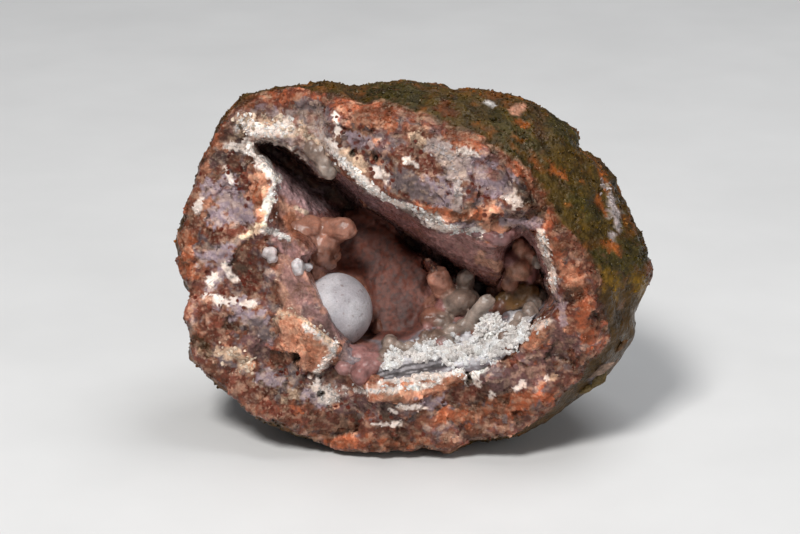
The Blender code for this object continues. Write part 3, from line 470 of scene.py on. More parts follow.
# Small pieces set into the rock: name, count, corners, smallest and largest radius, flatness, lean and
# spread of the tones
SCATTERS = [
    ("face_chips", 3500, 8, (0.12, 0.5), 0.35, 0.25, 0.14),
    ("skin_grains", 7500, 11, (0.12, 0.36), 0.7, 0.3, 0.3),
]
# Half the floor's side in metres
FLOOR_HALF = 3.0
# Soft lamps: name, place and size in metres, energy, colour
LAMPS = [
    ("key", (-0.16, -0.35, 0.52), 0.15, 3.7, (1.0, 0.985, 0.96)),
    ("top", (0.16, 0.10, 0.55), 0.30, 1.3, (0.97, 0.985, 1.0)),
    ("fill", (0.40, -0.40, 0.22), 0.35, 0.55, (1.0, 0.98, 0.96)),
]
ROOM_COLOUR = (0.92, 0.95, 1.0, 1.0)
ROOM_STRENGTH = 0.16


noise.seed_set(NOISE_SEED)


# Small helpers


def srgb(name):
    """A palette colour as scene-linear values."""
    values = np.array(PALETTE[name]) / 255.0
    return np.where(values <= 0.04045, values / 12.92, ((values + 0.055) / 1.055) ** 2.4)


def smooth_step(low, high, value):
    t = np.clip((value - low) / (high - low), 0.0, 1.0)
    return t * t * (3.0 - 2.0 * t)


def read_vectors(parts, value):
    """A vector of each vertex or face of a mesh."""
    vectors = np.empty(len(parts) * 3, dtype=np.float32)
    parts.foreach_get(value, vectors)
    return vectors.reshape(-1, 3).astype(np.float64)


def read_points(mesh):
    return read_vectors(mesh.vertices, "co")


def write_points(mesh, points):
    mesh.vertices.foreach_set("co", np.asarray(points, dtype=np.float32).ravel())
    mesh.update()


def mesh_from(build):
    shape = bmesh.new()
    build(shape)
    bmesh.ops.recalc_face_normals(shape, faces=shape.faces)
    mesh = bpy.data.meshes.new("shape")
    shape.to_mesh(mesh)
    shape.free()
    return mesh


def new_object(name, data):
    thing = bpy.data.objects.new(name, data)
    bpy.context.scene.collection.objects.link(thing)
    return thing


def shape_from(build):
    """The points and faces of a small shape that lumps are made from."""
    mesh = mesh_from(build)
    shape = read_points(mesh), [np.array(face.vertices[:]) for face in mesh.polygons]
    bpy.data.meshes.remove(mesh)
    return shape


def bake_modifiers(thing):
    graph = bpy.context.evaluated_depsgraph_get()
    graph.update()
    mesh = bpy.data.meshes.new_from_object(thing.evaluated_get(graph))
    thing.modifiers.clear()
    thing.data = mesh


def even_out(thing, voxel_size, passes):
    """Mesh a shape again with small even faces, and soften it."""
    even = thing.modifiers.new("Even", "REMESH")
    even.mode = "VOXEL"
    even.voxel_size = voxel_size
    soft = thing.modifiers.new("Soften", "SMOOTH")
    soft.factor = 0.5
    soft.iterations = passes
    bake_modifiers(thing)


def point_tree(points):
    tree = KDTree(len(points))
    for index, point in enumerate(points):
        tree.insert(point, index)
    tree.balance()
    return tree


def turn_to(axis):
    """A rotation for rows of points that turns depth into another direction."""
    return np.array(Vector((0.0, 0.0, 1.0)).rotation_difference(axis).to_matrix()).T


def place_along(line, chance):
    """A random place on a line of several pieces."""
    place = chance.uniform(0, len(line) - 1.001)
    start, end = np.array(line[int(place)]), np.array(line[int(place) + 1])
    return start + (end - start) * (place % 1)


def put_values(mesh, name, values):
    layer = mesh.attributes.new(name, "FLOAT", "POINT")
    layer.data.foreach_set("value", np.asarray(values, dtype=np.float32))


def put_colours(mesh, name, colours):
    layer = mesh.attributes.new(name, "FLOAT_COLOR", "POINT")
    rgba = np.ones((len(colours), 4), dtype=np.float32)
    rgba[:, :3] = colours
    layer.data.foreach_set("color", rgba.ravel())


def fractal(points, scale, octaves, shift=0.0):
    """Fractal noise at each point, with features of about 1 / scale millimetres."""
    offset = Vector((shift, shift * 0.7, -shift))
    return np.array([noise.fractal(Vector(p) * scale + offset, 1.0, 2.0, octaves) for p in points])


def layers(points, table):
    """Fractal noise of several scales, each with its own height."""
    return sum(fractal(points, scale, octaves, shift) * height for scale, octaves, shift, height in table)


def cell_facets(points, scale, tilt, lift, shift):
    """Flat facets of broken stone: each cell has a tilt and a height of its own."""
    offset = Vector((shift, -shift, shift * 0.5))
    result = np.empty(len(points))
    for index, p in enumerate(points):
        place = Vector(p) * scale + offset
        seed = noise.voronoi(place)[1][0]
        lean = noise.noise_vector(seed * 3.7 + offset)
        result[index] = tilt * lean.dot(place - seed) + lift * noise.noise(seed * 5.1)
    return result


def cell_tones(points, scale, shift=0.0):
    """A value of its own for each cell of the same facets, about -0.5 to 0.5."""
    offset = Vector((shift, -shift, shift * 0.5))
    seeds = (noise.voronoi(Vector(p) * scale + offset)[1][0] for p in points)
    return np.array([noise.noise(seed * 7.3) for seed in seeds])


def cell_domes(points, scale, shift=0.0):
    """Low round domes, from 0 between them to 1 on top."""
    offset = Vector((shift, -shift, shift * 0.5))
    near = np.array([noise.voronoi(Vector(p) * scale + offset)[0][0] for p in points])
    return np.sqrt(np.clip(1.0 - (near / 0.75) ** 2, 0.0, 1.0))


# The layout: where a point of the stone is seen on its open side


def stand_up(points):
    """From the layout in millimetres to the standing stone in metres."""
    nearer = 1.0 - points[:, 2] / LOOK_DISTANCE
    x, y, depth = points[:, 0] * nearer, points[:, 1] * nearer, points[:, 2]
    placed = np.stack([x, y * SIN_DOWN - depth * COS_DOWN, y * COS_DOWN + depth * SIN_DOWN], axis=1)
    return (placed + STONE_MIDDLE) * MM


def lay_out(points):
    """From the standing stone in metres to the layout in millimetres."""
    x, y, z = (points / MM - STONE_MIDDLE).T
    depth = -y * COS_DOWN + z * SIN_DOWN
    nearer = 1.0 - depth / LOOK_DISTANCE
    return np.stack([x / nearer, (y * SIN_DOWN + z * COS_DOWN) / nearer, depth], axis=1)


def to_pixels(layout):
    return MIDDLE_PIXEL[0] + layout[:, 0] * PIXELS_PER_MM, MIDDLE_PIXEL[1] - layout[:, 1] * PIXELS_PER_MM


def from_pixels(u, v):
    return (u - MIDDLE_PIXEL[0]) / PIXELS_PER_MM, (MIDDLE_PIXEL[1] - v) / PIXELS_PER_MM


def inside(outline, x, y):
    result = np.zeros(np.shape(x), dtype=bool)
    for (x0, y0), (x1, y1) in zip(outline, outline[1:] + outline[:1]):
        if y0 == y1:
            continue
        crosses = (y0 > y) != (y1 > y)
        result ^= crosses & (x < (x1 - x0) * (y - y0) / (y1 - y0) + x0)
    return result


def distance_to_line(line, x, y):
    nearest = np.full(np.shape(x), np.inf)
    for (x0, y0), (x1, y1) in zip(line, line[1:]):
        length = max((x1 - x0) ** 2 + (y1 - y0) ** 2, 1e-9)
        along = np.clip(((x - x0) * (x1 - x0) + (y - y0) * (y1 - y0)) / length, 0.0, 1.0)
        gap = np.hypot(x - x0 - along * (x1 - x0), y - y0 - along * (y1 - y0))
        nearest = np.minimum(nearest, gap)
    return nearest


def soften(field, passes):
    for _ in range(passes):
        padded = np.pad(field, 1, mode="edge")
        field = (padded[1:-1, 1:-1] * 2 + padded[:-2, 1:-1] + padded[2:, 1:-1]
                 + padded[1:-1, :-2] + padded[1:-1, 2:]) / 6
    return field


def broken_relief(x, y):
    relief = np.empty(np.shape(x))
    for index in np.ndindex(relief.shape):
        point = Vector((x[index], y[index], 0.0))
        steps = noise.fractal(point * LEDGE_SCALE, 1.0, 2.0, 2) * LEDGE_COUNT
        step = math.floor(steps) + min(1.0, (steps % 1.0) * LEDGE_STEEPNESS)
        rough = noise.fractal(point * ROUGH_SCALE + Vector((4.0, 1.0, 7.0)), 1.0, 2.0, 2)
        relief[index] = LEDGE_HEIGHT * step + ROUGH_HEIGHT * rough
    return relief


class DepthMap:
    """Depth of the open side on a grid: the broken face alone, and with the hollow's walls."""

    def __init__(self):
        self.count = [int(2 * half / SHEET_STEP) + 1 for half in SHEET_HALF]
        axes = [np.linspace(-half, half, n) for half, n in zip(SHEET_HALF, self.count)]
        x, y = np.meshgrid(*axes, indexing="ij")
        face = FACE_DEPTH + FACE_SLOPE_X * x + FACE_SLOPE_Y * y + FACE_TWIST * x * y
        for outline, lift in FACE_SLABS:
            face = np.where(inside(outline, x, y), face + lift, face)
        for line, lift, width in FACE_LINES:
            face = face + lift * np.exp(-(distance_to_line(line, x, y) / width) ** 2)
        face = face + broken_relief(x, y)
        depth = face
        for outline, level, slope_x, slope_y, _ in HOLLOW_WALLS:
            depth = np.where(inside(outline, x, y), level + slope_x * x + slope_y * y, depth)
        self.face = soften(face, 2)
        self.depth = soften(depth, 2)
        low = self.depth
        for _ in range(3):
            padded = np.pad(low, 1, mode="edge")
            sides = [padded[:-2, 1:-1], padded[2:, 1:-1], padded[1:-1, :-2], padded[1:-1, 2:]]
            low = np.minimum.reduce([low] + sides)
        self.lowest = low

    def at(self, x, y, field=None):
        field = self.depth if field is None else field
        x, y = np.atleast_1d(np.asarray(x, float)), np.atleast_1d(np.asarray(y, float))
        place = []
        for value, half, n in zip((x, y), SHEET_HALF, self.count):
            place.append(np.clip((value + half) / (2 * half) * (n - 1), 0, n - 1.001))
        i, j = place[0].astype(int), place[1].astype(int)
        u, v = place[0] - i, place[1] - j
        low = field[i, j] * (1 - v) + field[i, j + 1] * v
        high = field[i + 1, j] * (1 - v) + field[i + 1, j + 1] * v
        return low * (1 - u) + high * u

    def one(self, x, y):
        return float(self.at(x, y)[0])


depth_map = DepthMap()


# The rock


def fine_rock_shape():
    """A finely meshed copy of the rock's solid, in millimetres."""
    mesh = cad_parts["geode_rock"].data.copy()
    mesh.materials.clear()
    shape = bmesh.new()
    shape.from_mesh(mesh)
    bmesh.ops.remove_doubles(shape, verts=shape.verts, dist=1e-6)
    shape.to_mesh(mesh)
    shape.free()
    write_points(mesh, read_points(mesh) / MM)
    rock = new_object("rock_with_hollow", mesh)
    even_out(rock, ROCK_VOXEL, 3)
    return rock


def zones(points):
    """The layout of each point, and how much it belongs to the open side and to the hollow."""
    layout = lay_out(points * MM)
    x, y, depth = layout.T
    in_hollow = np.zeros(len(points))
    for outline, *_ in HOLLOW_WALLS:
        in_hollow = np.maximum(in_hollow, inside(outline, x, y))
    front = smooth_step(-1.3, -0.6, depth - depth_map.at(x, y, depth_map.lowest) + 2.5 * in_hollow)
    below_face = depth_map.at(x, y, depth_map.face) - np.minimum(depth, depth_map.at(x, y))
    hollow = in_hollow * smooth_step(0.4, 1.3, below_face) * front
    return layout, front, hollow


def relief(rock):
    """Break up the face, pit the skin and round the hollow's walls."""
    points = read_points(rock.data)
    normals = read_vectors(rock.data.vertices, "normal")
    layout, front, hollow = zones(points)
    u, v = to_pixels(layout)
    move = np.zeros(len(points))
    face = front * (1.0 - hollow)
    skin = 1.0 - front

    chosen = np.flatnonzero(face > 0.01)
    near = points[chosen]
    broken = sum(cell_facets(near, *facets) for facets in FACETS) + layers(near, FACE_GRAIN)
    flat = np.zeros(len(near))
    for outline, _ in SLAB_LIFTS[1:]:
        flat = np.maximum(flat, smooth_step(-0.1, 0.4, depth_inside(outline, layout[chosen])))
    move[chosen] += broken * face[chosen] * (1.0 - SLAB_CALM * flat)

    chosen = np.flatnonzero(skin > 0.01)
    near = points[chosen]
    bumps = layers(near, SKIN_BUMPS)
    pits = smooth_step(0.42, 0.12, np.array([noise.voronoi(Vector(p) * SKIN_PIT_SCALE)[0][0] for p in near]))
    bumps -= SKIN_PIT_DEPTH * pits * smooth_step(-0.1, 0.3, fractal(near, 0.25, 2, 11.0))
    move[chosen] += bumps * skin[chosen] * (1.0 - SMOOTH_SKIN_CALM * smooth_skin(layout[chosen]))

    chosen = np.flatnonzero(hollow > 0.01)
    near = points[chosen]
    round_lumps = cell_domes(near, 0.52) * 0.26 + cell_domes(near, 1.35, 4.0) * 0.12
    round_lumps += fractal(near, 0.5, 3, 3.0) * 0.2 - 0.2
    x, y, _ = layout[chosen].T
    smooth_walls = inside(LEFT_WALL, x, y) | inside(BACK_PLATE, x, y)
    move[chosen] += round_lumps * hollow[chosen] * np.where(smooth_walls, SMOOTH_WALL_SHARE, 1.0)

    for spot_u, spot_v, radius in DARK_SPOTS:
        inside_spot = smooth_step(radius * 1.3, radius * 0.5, np.hypot(u - spot_u, v - spot_v)) * face
        move -= inside_spot * (HOLE_DEPTH if radius > HOLE_RADIUS else SPOT_DEPTH) * radius
    off_base = smooth_step(0.15, 1.2, points[:, 2])
    moved = points + normals * (move * off_base)[:, None]
    moved += TOWARD * (swell(layout) * front)[:, None]
    uneven = layers(points, SLAB_EDGE_NOISE)
    for outline, lift in SLAB_LIFTS:
        raised = lift * smooth_step(-0.2, 0.25, depth_inside(outline, layout) + uneven) * face
        moved += TOWARD * raised[:, None]
    moved[:, 2] = np.maximum(moved[:, 2], 0.0)
    write_points(rock.data, moved)
    return np.clip(move, -HEIGHT_LIMIT, HEIGHT_LIMIT)


def smooth_skin(layout):
    """How much a point belongs to the smooth dark skin at the lower right, whose dark colour is partly the
    skin's own and partly painted shade.
    """
    x, y, _ = layout.T
    return smooth_step(2.0, -8.0, y) * smooth_step(10.0, 18.0, x)


def depth_inside(outline, layout):
    """Distance of each point to an outline, negative outside it."""
    x, y = layout[:, 0], layout[:, 1]
    near_edge = distance_to_line(outline + outline[:1], x, y)
    return np.where(inside(outline, x, y), near_edge, -near_edge)


def swell(layout):
    """How far the lower wall stands toward the viewer in front of the ball."""
    x, y, depth = layout.T
    across = distance_to_line(SWELL_LINE, x, y)
    width = np.where(inside(BALL_SIDE, x, y), SWELL_BALL_WIDTH, SWELL_WIDTH)
    face = depth_map.at(x, y, depth_map.face)
    below_face = smooth_step(-0.5, 2.0, face + 0.6 - depth)
    raised = SWELL_HEIGHT * smooth_step(1.0, 0.25, across / (width * 2.0)) * below_face
    return np.minimum(raised, np.maximum(face + 0.1 - depth, 0.0)) - dip(x, y)


def dip(x, y):
    """How far the floor lies deeper beside the ball."""
    middle_x, middle_y, radius, low = BALL_DIP
    return low * smooth_step(radius, 0.3 * radius, np.hypot(x - middle_x, y - middle_y))


def plain(name, count):
    return np.tile(srgb(name), (count, 1))


def paint(colours, *coats):
    """Lay coats over colours, each with a mask, a colour and a strength."""
    for mask, name, strength in coats:
        amount = (np.clip(mask, 0.0, 1.0) * strength)[:, None]
        colours = colours * (1.0 - amount) + srgb(name) * amount
    return colours


def paint_patches(colours, patches, u, v, uneven, strength, marked=(), seen=1.0):
    """Lay patches with uneven edges, and tell how much of each point the marked colours have."""
    marks = np.zeros(len(u))
    for index, (name, u0, v0, u1, v1, half_width) in enumerate(patches):
        reach = distance_to_line([(u0, v0), (u1, v1)], u, v) / half_width
        mask = smooth_step(1.12, 0.88, reach + uneven[index % 3]) * seen
        colours = paint(colours, (mask, name, strength))
        marks += ((name in marked) - marks) * mask
    return colours, marks


def distance_from_skin(points, front):
    """How far each point lies from the nodule's outer skin, in millimetres."""
    tree = point_tree(points[(front < 0.5) & (front > 0.02)])
    away = np.zeros(len(points))
    for index in np.flatnonzero(front >= 0.5):
        away[index] = tree.find(points[index])[2]
    return away


def skin_colours(points, layout, u, v, uneven, wide, middle, fine):
    x, y, depth = layout.T
    lower_right_colour_and_shade = np.maximum(smooth_step(-2.0, -12.0, y) * smooth_step(-8.0, 8.0, x), smooth_skin(layout))
    left = smooth_step(-14.0, -24.0, x) * smooth_step(-15.0, 0.0, y)
    colours = paint(
        plain("olive", len(points)),
        (smooth_step(0.0, 0.12, wide), "moss", 1.0),
        (smooth_step(0.05, 0.18, middle), "skin brown", 0.8),
        (smooth_step(0.1, 0.25, -middle), "dark olive", 0.85),
        # The lower right is painted deep olive: partly the skin's own dark colour, partly painted shade on
        # the stone's lower right side
        (lower_right_colour_and_shade + wide * 0.5, "deep olive", 0.9),
        (left + wide * 0.5, "skin brown", 0.8),
        (smooth_step(0.16, 0.3, fractal(points, 0.45, 3, 21.0)), "orange", 0.35),
    )
    seen = smooth_step(-10.0, -6.0, depth)
    colours, pale = paint_patches(colours, SKIN_PATCHES, u, v, uneven, 1.0, PALE_COLOURS, seen)
    warmth = 1.0 - (1.0 - pale)[:, None] * (1.0 - SKIN_WARMTH)
    return np.clip(colours * (1.0 + 0.5 * fine)[:, None], 0.0, 1.0) ** FACE_DEEPENING * warmth


def face_colours(points, layout, u, v, uneven, wide, middle, fine, away):
    """The broken face's colours, and how much of each point is clear stone."""
    colours = paint(
        plain("mauve", len(points)),
        (smooth_step(-0.05, 0.12, middle + wide * 0.4), "clay", 1.0),
        (smooth_step(0.1, 0.22, -middle), "grey", 0.7),
        (smooth_step(0.12, 0.25, fractal(points, 0.8, 3, 15.0)), "brick", 0.6),
    )
    colours, clear = paint_patches(colours, FACE_PATCHES, u, v, uneven, 0.94, CLEAR_COLOURS)
    for outline, name, strength in SLAB_COLOURS:
        within = depth_inside(outline, layout)
        lower_part = smooth_step(0.0, 0.3, middle + 0.12 * (within - 1.0))
        colours = paint(
            colours,
            (smooth_step(-0.15, 0.3, within + fine * 0.5), name, strength),
            (smooth_step(-0.1, 0.3, within) * lower_part, "orange", strength - 0.3),
        )
    for name, _, spread, _, pixels in EDGE_ROWS:
        reach = distance_to_line(pixels, u, v) / (spread * 5.0 + 1.8)
        colours = paint(colours, (smooth_step(1.4, 0.6, reach + uneven[0] * 1.3), name, 0.9))
    rind = smooth_step(1.7, 0.5, away + middle * 3.0 + wide * 1.5)
    colours = paint(
        colours,
        (rind, "brick", 0.75),
        (rind * smooth_step(0.0, 0.2, wide + fine * 0.4), "orange", 0.6),
        (smooth_step(0.8, 0.3, away + middle * 1.5), "skin brown", 0.8),
        (smooth_step(0.10, 0.26, fractal(points * VEIL_STRETCH, 1.1, 4, 27.0)), "cream", 0.28),
    )
    tones = 0.7 * cell_tones(points, 0.30) + 0.25 * cell_tones(points, 0.85, 5.0)
    tones = 1.0 + tones * (1.0 - 0.7 * clear)
    # Toward the right the face is tinted warmer and darkened, partly a warm tint and partly painted shade of
    # the side turned from the key light
    right = smooth_step(9.0, 18.0, layout[:, 0])[:, None]
    warmth = FACE_WARMTH * (1.0 - right * (1.0 - RIGHT_WARMTH_AND_SHADE))
    return np.clip(colours * tones[:, None], 0.0, 1.0) ** FACE_DEEPENING * warmth, clear


def hollow_colours(layout, u, v, uneven, middle):
    x, y, depth = layout.T
    colours = plain("deep pink", len(u))
    for outline, *_, name in HOLLOW_WALLS:
        colours[inside(outline, x, y)] = srgb(name)
    colours = paint(
        colours,
        (smooth_step(0.0, 0.25, middle), "clay", 0.4),
        (smooth_step(0.05, 0.25, -middle), "mauve", 0.35),
    )
    uneven = [edge * 0.7 for edge in uneven]
    colours, _ = paint_patches(colours, HOLLOW_PATCHES, u, v, uneven, 0.8)
    across = np.stack([x * 2.2 + y * 0.9, y * 0.5 - x * 0.2, depth * 0.3], axis=1)
    streaks = np.where(inside(LEFT_WALL, x, y), 0.7, 0.3) * fractal(across, 1.0, 3, 18.0)
    return colours * (1.0 + streaks)[:, None]


def colour_rock(rock, heights):
    points = read_points(rock.data)
    layout, front, hollow = zones(points)
    u, v = to_pixels(layout)
    wide = fractal(points, 0.22, 3, 1.0)
    middle = fractal(points, 0.62, 4, 5.0)
    fine = fractal(points, 1.4, 2, 9.0)
    uneven = [middle + fine * 0.7, wide * 0.6 - middle * 0.8 + fine * 0.7, fine * 0.9 - middle * 0.8]
    away = distance_from_skin(points, front)
    on_skin = skin_colours(points, layout, u, v, uneven, wide, middle, fine)
    on_face, clear = face_colours(points, layout, u, v, uneven, wide, middle, fine, away)
    in_hollow = hollow_colours(layout, u, v, uneven, middle)
    face = front * (1.0 - hollow)
    colours = on_skin * (1 - front)[:, None] + on_face * face[:, None] + in_hollow * hollow[:, None]
    # Painted light on raised relief, and painted shade in its pits and hollows, by the height of the relief
    relief_light_and_shade = 1.0 + np.clip(heights, -0.5, 0.5) * (1.3 * face * (1.0 - 0.6 * clear) + 0.8 * (1 - front))
    colours = colours * relief_light_and_shade[:, None]
    specks = np.zeros(len(points))
    for patch in SPECK_PATCHES:
        reach = distance_to_line([patch[0:2], patch[2:4]], u, v) / patch[4]
        specks = np.maximum(specks, smooth_step(1.4, 0.5, reach))
    # Holes are painted near black, as painted shade inside them; smaller spots take the red speck colour
    for spot_u, spot_v, radius in DARK_SPOTS:
        reach = np.hypot(u - spot_u, v - spot_v) / radius
        name = "dark" if radius > HOLE_RADIUS else "speck"
        colours = paint(colours, (smooth_step(1.2, 0.7, reach + fine * 1.6) * face, name, 0.95))
    put_colours(rock.data, "tint", np.clip(colours, 0, 1))
    put_values(rock.data, "specks", specks * face)
    put_values(rock.data, "skin", 1.0 - front)
    put_values(rock.data, "clear", clear * face)
    return colours, face


def make_rock():
    """The rock, its colours, and how much each of its points belongs to the broken face."""
    rock = fine_rock_shape()
    heights = relief(rock)
    put_values(rock.data, "height", heights)
    _, front, _ = zones(read_points(rock.data))
    keep = rock.vertex_groups.new(name="open_side")
    for level in range(1, KEEP_LEVELS + 1):
        chosen = np.flatnonzero(np.ceil(front * KEEP_LEVELS) == level)
        keep.add(chosen.tolist(), level / KEEP_LEVELS, "REPLACE")
    triangles = sum(len(face.vertices) - 2 for face in rock.data.polygons)
    fewer = rock.modifiers.new("Fewer", "DECIMATE")
    fewer.ratio = min(1.0, ROCK_TRIANGLES / triangles)
    fewer.vertex_group = "open_side"
    fewer.invert_vertex_group = True
    fewer.vertex_group_factor = KEEP_FACTOR
    fewer.use_collapse_triangulate = True
    bake_modifiers(rock)
    heights = np.empty(len(rock.data.vertices), dtype=np.float32)
    rock.data.attributes["height"].data.foreach_get("value", heights)
    rock.data.attributes.remove(rock.data.attributes["height"])
    colours, face = colour_rock(rock, heights)
    rock.vertex_groups.clear()
    rock.data.shade_smooth()
    return rock, colours, face


# Chips and grains on the rock


def chip_shapes(count, corners, chance):
    """Small angular pieces, each the hull of a few points on a ball."""
    shapes = []
    for _ in range(count):
        directions = chance.normal(size=(corners, 3))
        directions /= np.linalg.norm(directions, axis=1)[:, None]

        def build(shape):
            for direction in directions:
                shape.verts.new(direction)
            bmesh.ops.convex_hull(shape, input=shape.verts)

        shapes.append(shape_from(build))
    return shapes


def frame_on(normal, chance, lean):
    """A rotation whose third axis is near a surface's normal."""
    axis = Vector(np.array(normal) + chance.normal(0.0, lean, 3)).normalized()
    side = axis.orthogonal().normalized()
    spin = chance.uniform(0, 2 * math.pi)
    first = side * math.cos(spin) + axis.cross(side) * math.sin(spin)
    return np.array([first, axis.cross(first), axis])


def make_scatter(name, rock, colours, weight, count, corners, sizes, flatness, lean, spread):
    """Many small pieces set into the rock, each in the colour that the rock has there."""
    chance = np.random.default_rng(len(name) + count)
    faces = rock.data.polygons
    centres, normals = read_vectors(faces, "center"), read_vectors(faces, "normal")
    areas = np.empty(len(faces))
    faces.foreach_get("area", areas)
    corner = np.empty(len(faces) * 3, dtype=np.int32)
    faces.foreach_get("vertices", corner)
    corner = corner.reshape(-1, 3)
    share = areas * weight[corner].mean(axis=1) * (centres[:, 2] > CHIP_FREE_HEIGHT)
    share[share < areas * 0.5] = 0.0
    chosen = chance.choice(len(faces), size=count, p=share / share.sum())
    shapes = chip_shapes(CHIP_SHAPES, corners, chance)
    lumps = Lumps()
    for index in chosen:
        points, hull = shapes[int(chance.integers(len(shapes)))]
        size = sizes[0] + (sizes[1] - sizes[0]) * chance.uniform() ** 2.5
        scale = size * np.array([chance.uniform(0.7, 1.2), chance.uniform(0.5, 0.9), flatness])
        colour = colours[corner[index, 0]] * (1.0 + chance.normal(0.0, spread))
        turn = frame_on(normals[index], chance, lean)
        lumps.add((points * scale) @ turn + centres[index] + normals[index] * size * 0.1, hull, colour)
    piece = lumps.finish(name, rock.data.materials[0], laid_out=False)
    piece.data.shade_flat()
    return piece


def make_edges(tree, material):
    """Rows of small crusted chips along the edges that the slabs end in."""
    chance = np.random.default_rng(EDGE_SEED)
    shapes = chip_shapes(EDGE_SHAPES, 9, chance)
    lumps = Lumps()
    for name, count, spread, size, pixels in EDGE_ROWS:
        row = [from_pixels(u, v) for u, v in pixels]
        for _ in range(int(count * EDGE_SHARE)):
            x, y = place_along(row, chance) + chance.normal(0, spread, 2)
            hit, normal = on_stone(tree, x, y)
            if hit is None:
                continue
            points, hull = shapes[int(chance.integers(len(shapes)))]
            scale = size * chance.uniform(0.3, 1.0) * np.array([1.0, chance.uniform(0.6, 1.0), 0.5])
            turn = frame_on(normal, chance, 0.5)
            colour = srgb(name) * chance.uniform(0.7, 1.15)
            lumps.add((points * scale) @ turn + hit, hull, np.clip(colour, 0, 1))
    add_flakes(lumps, tree)
    piece = lumps.finish("edge_crust", material, laid_out=False)
    piece.data.shade_flat()
    return piece


def add_flakes(lumps, tree):
    """Thin leaf-shaped flakes that lift off the skin."""
    points, faces = sphere_shape(3)
    for u, v, half_length, half_width, turn, name in FLAKES:
        hit, _ = on_stone(tree, *from_pixels(u, v))
        if hit is None:
            continue
        leaf = points * np.array([half_length, half_width, 0.25])
        leaf[:, 1] *= 1.0 - 0.55 * np.abs(points[:, 0])
        leaf[:, 2] += 0.18 * fractal(leaf, 1.2, 2, 5.0) + 0.25 * (points[:, 0] ** 2)
        angle = math.radians(turn)
        across = np.array([math.cos(angle), 0.0, math.sin(angle)])
        above = np.array([-math.sin(angle), 0.0, math.cos(angle)])
        outward = np.array([0.0, -1.0, 0.0])
        placed = leaf @ np.array([across, above, outward]) + hit + np.array([0.15, -0.2, 0.0])
        tone = srgb(name)[None, :] * (1.0 + 0.8 * fractal(placed, 1.5, 3, 3.0))[:, None]
        lumps.add(placed, faces, np.clip(tone, 0, 1))


def on_stone(tree, x, y):
    """Where the line of sight at x, y of the layout meets the rock, in millimetres, and the normal."""
    near, far = stand_up(np.array([[x, y, 30.0], [x, y, -20.0]])) / MM
    hit, normal, *_ = tree.ray_cast(Vector(near), Vector(far - near).normalized())
    return (None, None) if hit is None else (np.array(hit), np.array(normal))


# The crust


def front_rise(x, y):
    """How far the crust rises along the floor's front edge."""
    height = FRONT_RISE * (1.0 + RIGHT_RISE * smooth_step(7.0, 12.0, x))
    return height * smooth_step(*FRONT_REACH, distance_to_line(FRONT_EDGE, x, y))


def on_wall(x, y, height):
    """A point above the hollow's wall, no further out than the broken face."""
    wall, face = depth_map.one(x, y), float(depth_map.at(x, y, depth_map.face)[0])
    return Vector((x, y, min(wall + height, max(wall, face + 0.2))))


class Lumps:
    """Many small closed bodies gathered into one mesh, each with its own colour."""

    def __init__(self):
        self.points, self.faces, self.colours = [], [], []
        self.count = 0

    def add(self, points, faces, colour):
        self.points.append(points)
        self.faces.extend((face + self.count).tolist() for face in faces)
        self.colours.append(np.tile(colour, (len(points), 1)) if np.ndim(colour) == 1 else colour)
        self.count += len(points)

    def finish(self, name, material, laid_out=True):
        """The gathered mesh, in metres, from points in the layout or in the stone's millimetres."""
        points = np.concatenate(self.points)
        points = stand_up(points) if laid_out else points * MM
        mesh = bpy.data.meshes.new(name)
        mesh.from_pydata(points.tolist(), [], self.faces)
        mesh.update()
        put_colours(mesh, "tint", np.concatenate(self.colours))
        mesh.shade_smooth()
        mesh.materials.append(material)
        return new_object(name, mesh)


def sphere_shape(detail):
    return shape_from(lambda shape: bmesh.ops.create_icosphere(shape, subdivisions=detail, radius=1.0))


def tone_colour(tone, chance):
    low, high = (srgb(name) for name in TONES[tone])
    return low + (high - low) * chance.uniform(0.0, 1.0)


def bumpy(points, centre, amount, scale):
    """Push a round lump's points in and out a little."""
    return np.array([
        p * (1.0 + amount * noise.fractal(Vector(p) * scale + centre * 3.1, 1.0, 2.0, 2)) for p in points
    ])


def add_finger(lumps, root, tip, root_radius, tip_radius, colour):
    """A tapering finger with a round tip, slightly lumpy along its length."""
    points, faces = sphere_shape(4)
    axis = tip - root
    along = np.clip(points[:, 2] * 0.5 + 0.5, 0, 1)
    radius = root_radius + (tip_radius - root_radius) * along
    stretched = points * radius[:, None]
    stretched[:, 2] += axis.length * smooth_step(0.3, 0.7, along)
    stretched = bumpy(stretched, root, 0.12, 0.8)
    lumps.add(stretched @ turn_to(axis.normalized()) + np.array(root), faces, colour)


def blocky(points, half, turn):
    squared = np.sign(points) * np.abs(points) ** BLOCK_SQUARENESS * np.array(half)
    x = squared[:, 0] * math.cos(turn) - squared[:, 1] * math.sin(turn)
    y = squared[:, 0] * math.sin(turn) + squared[:, 1] * math.cos(turn)
    return np.stack([x, y, squared[:, 2]], axis=1)


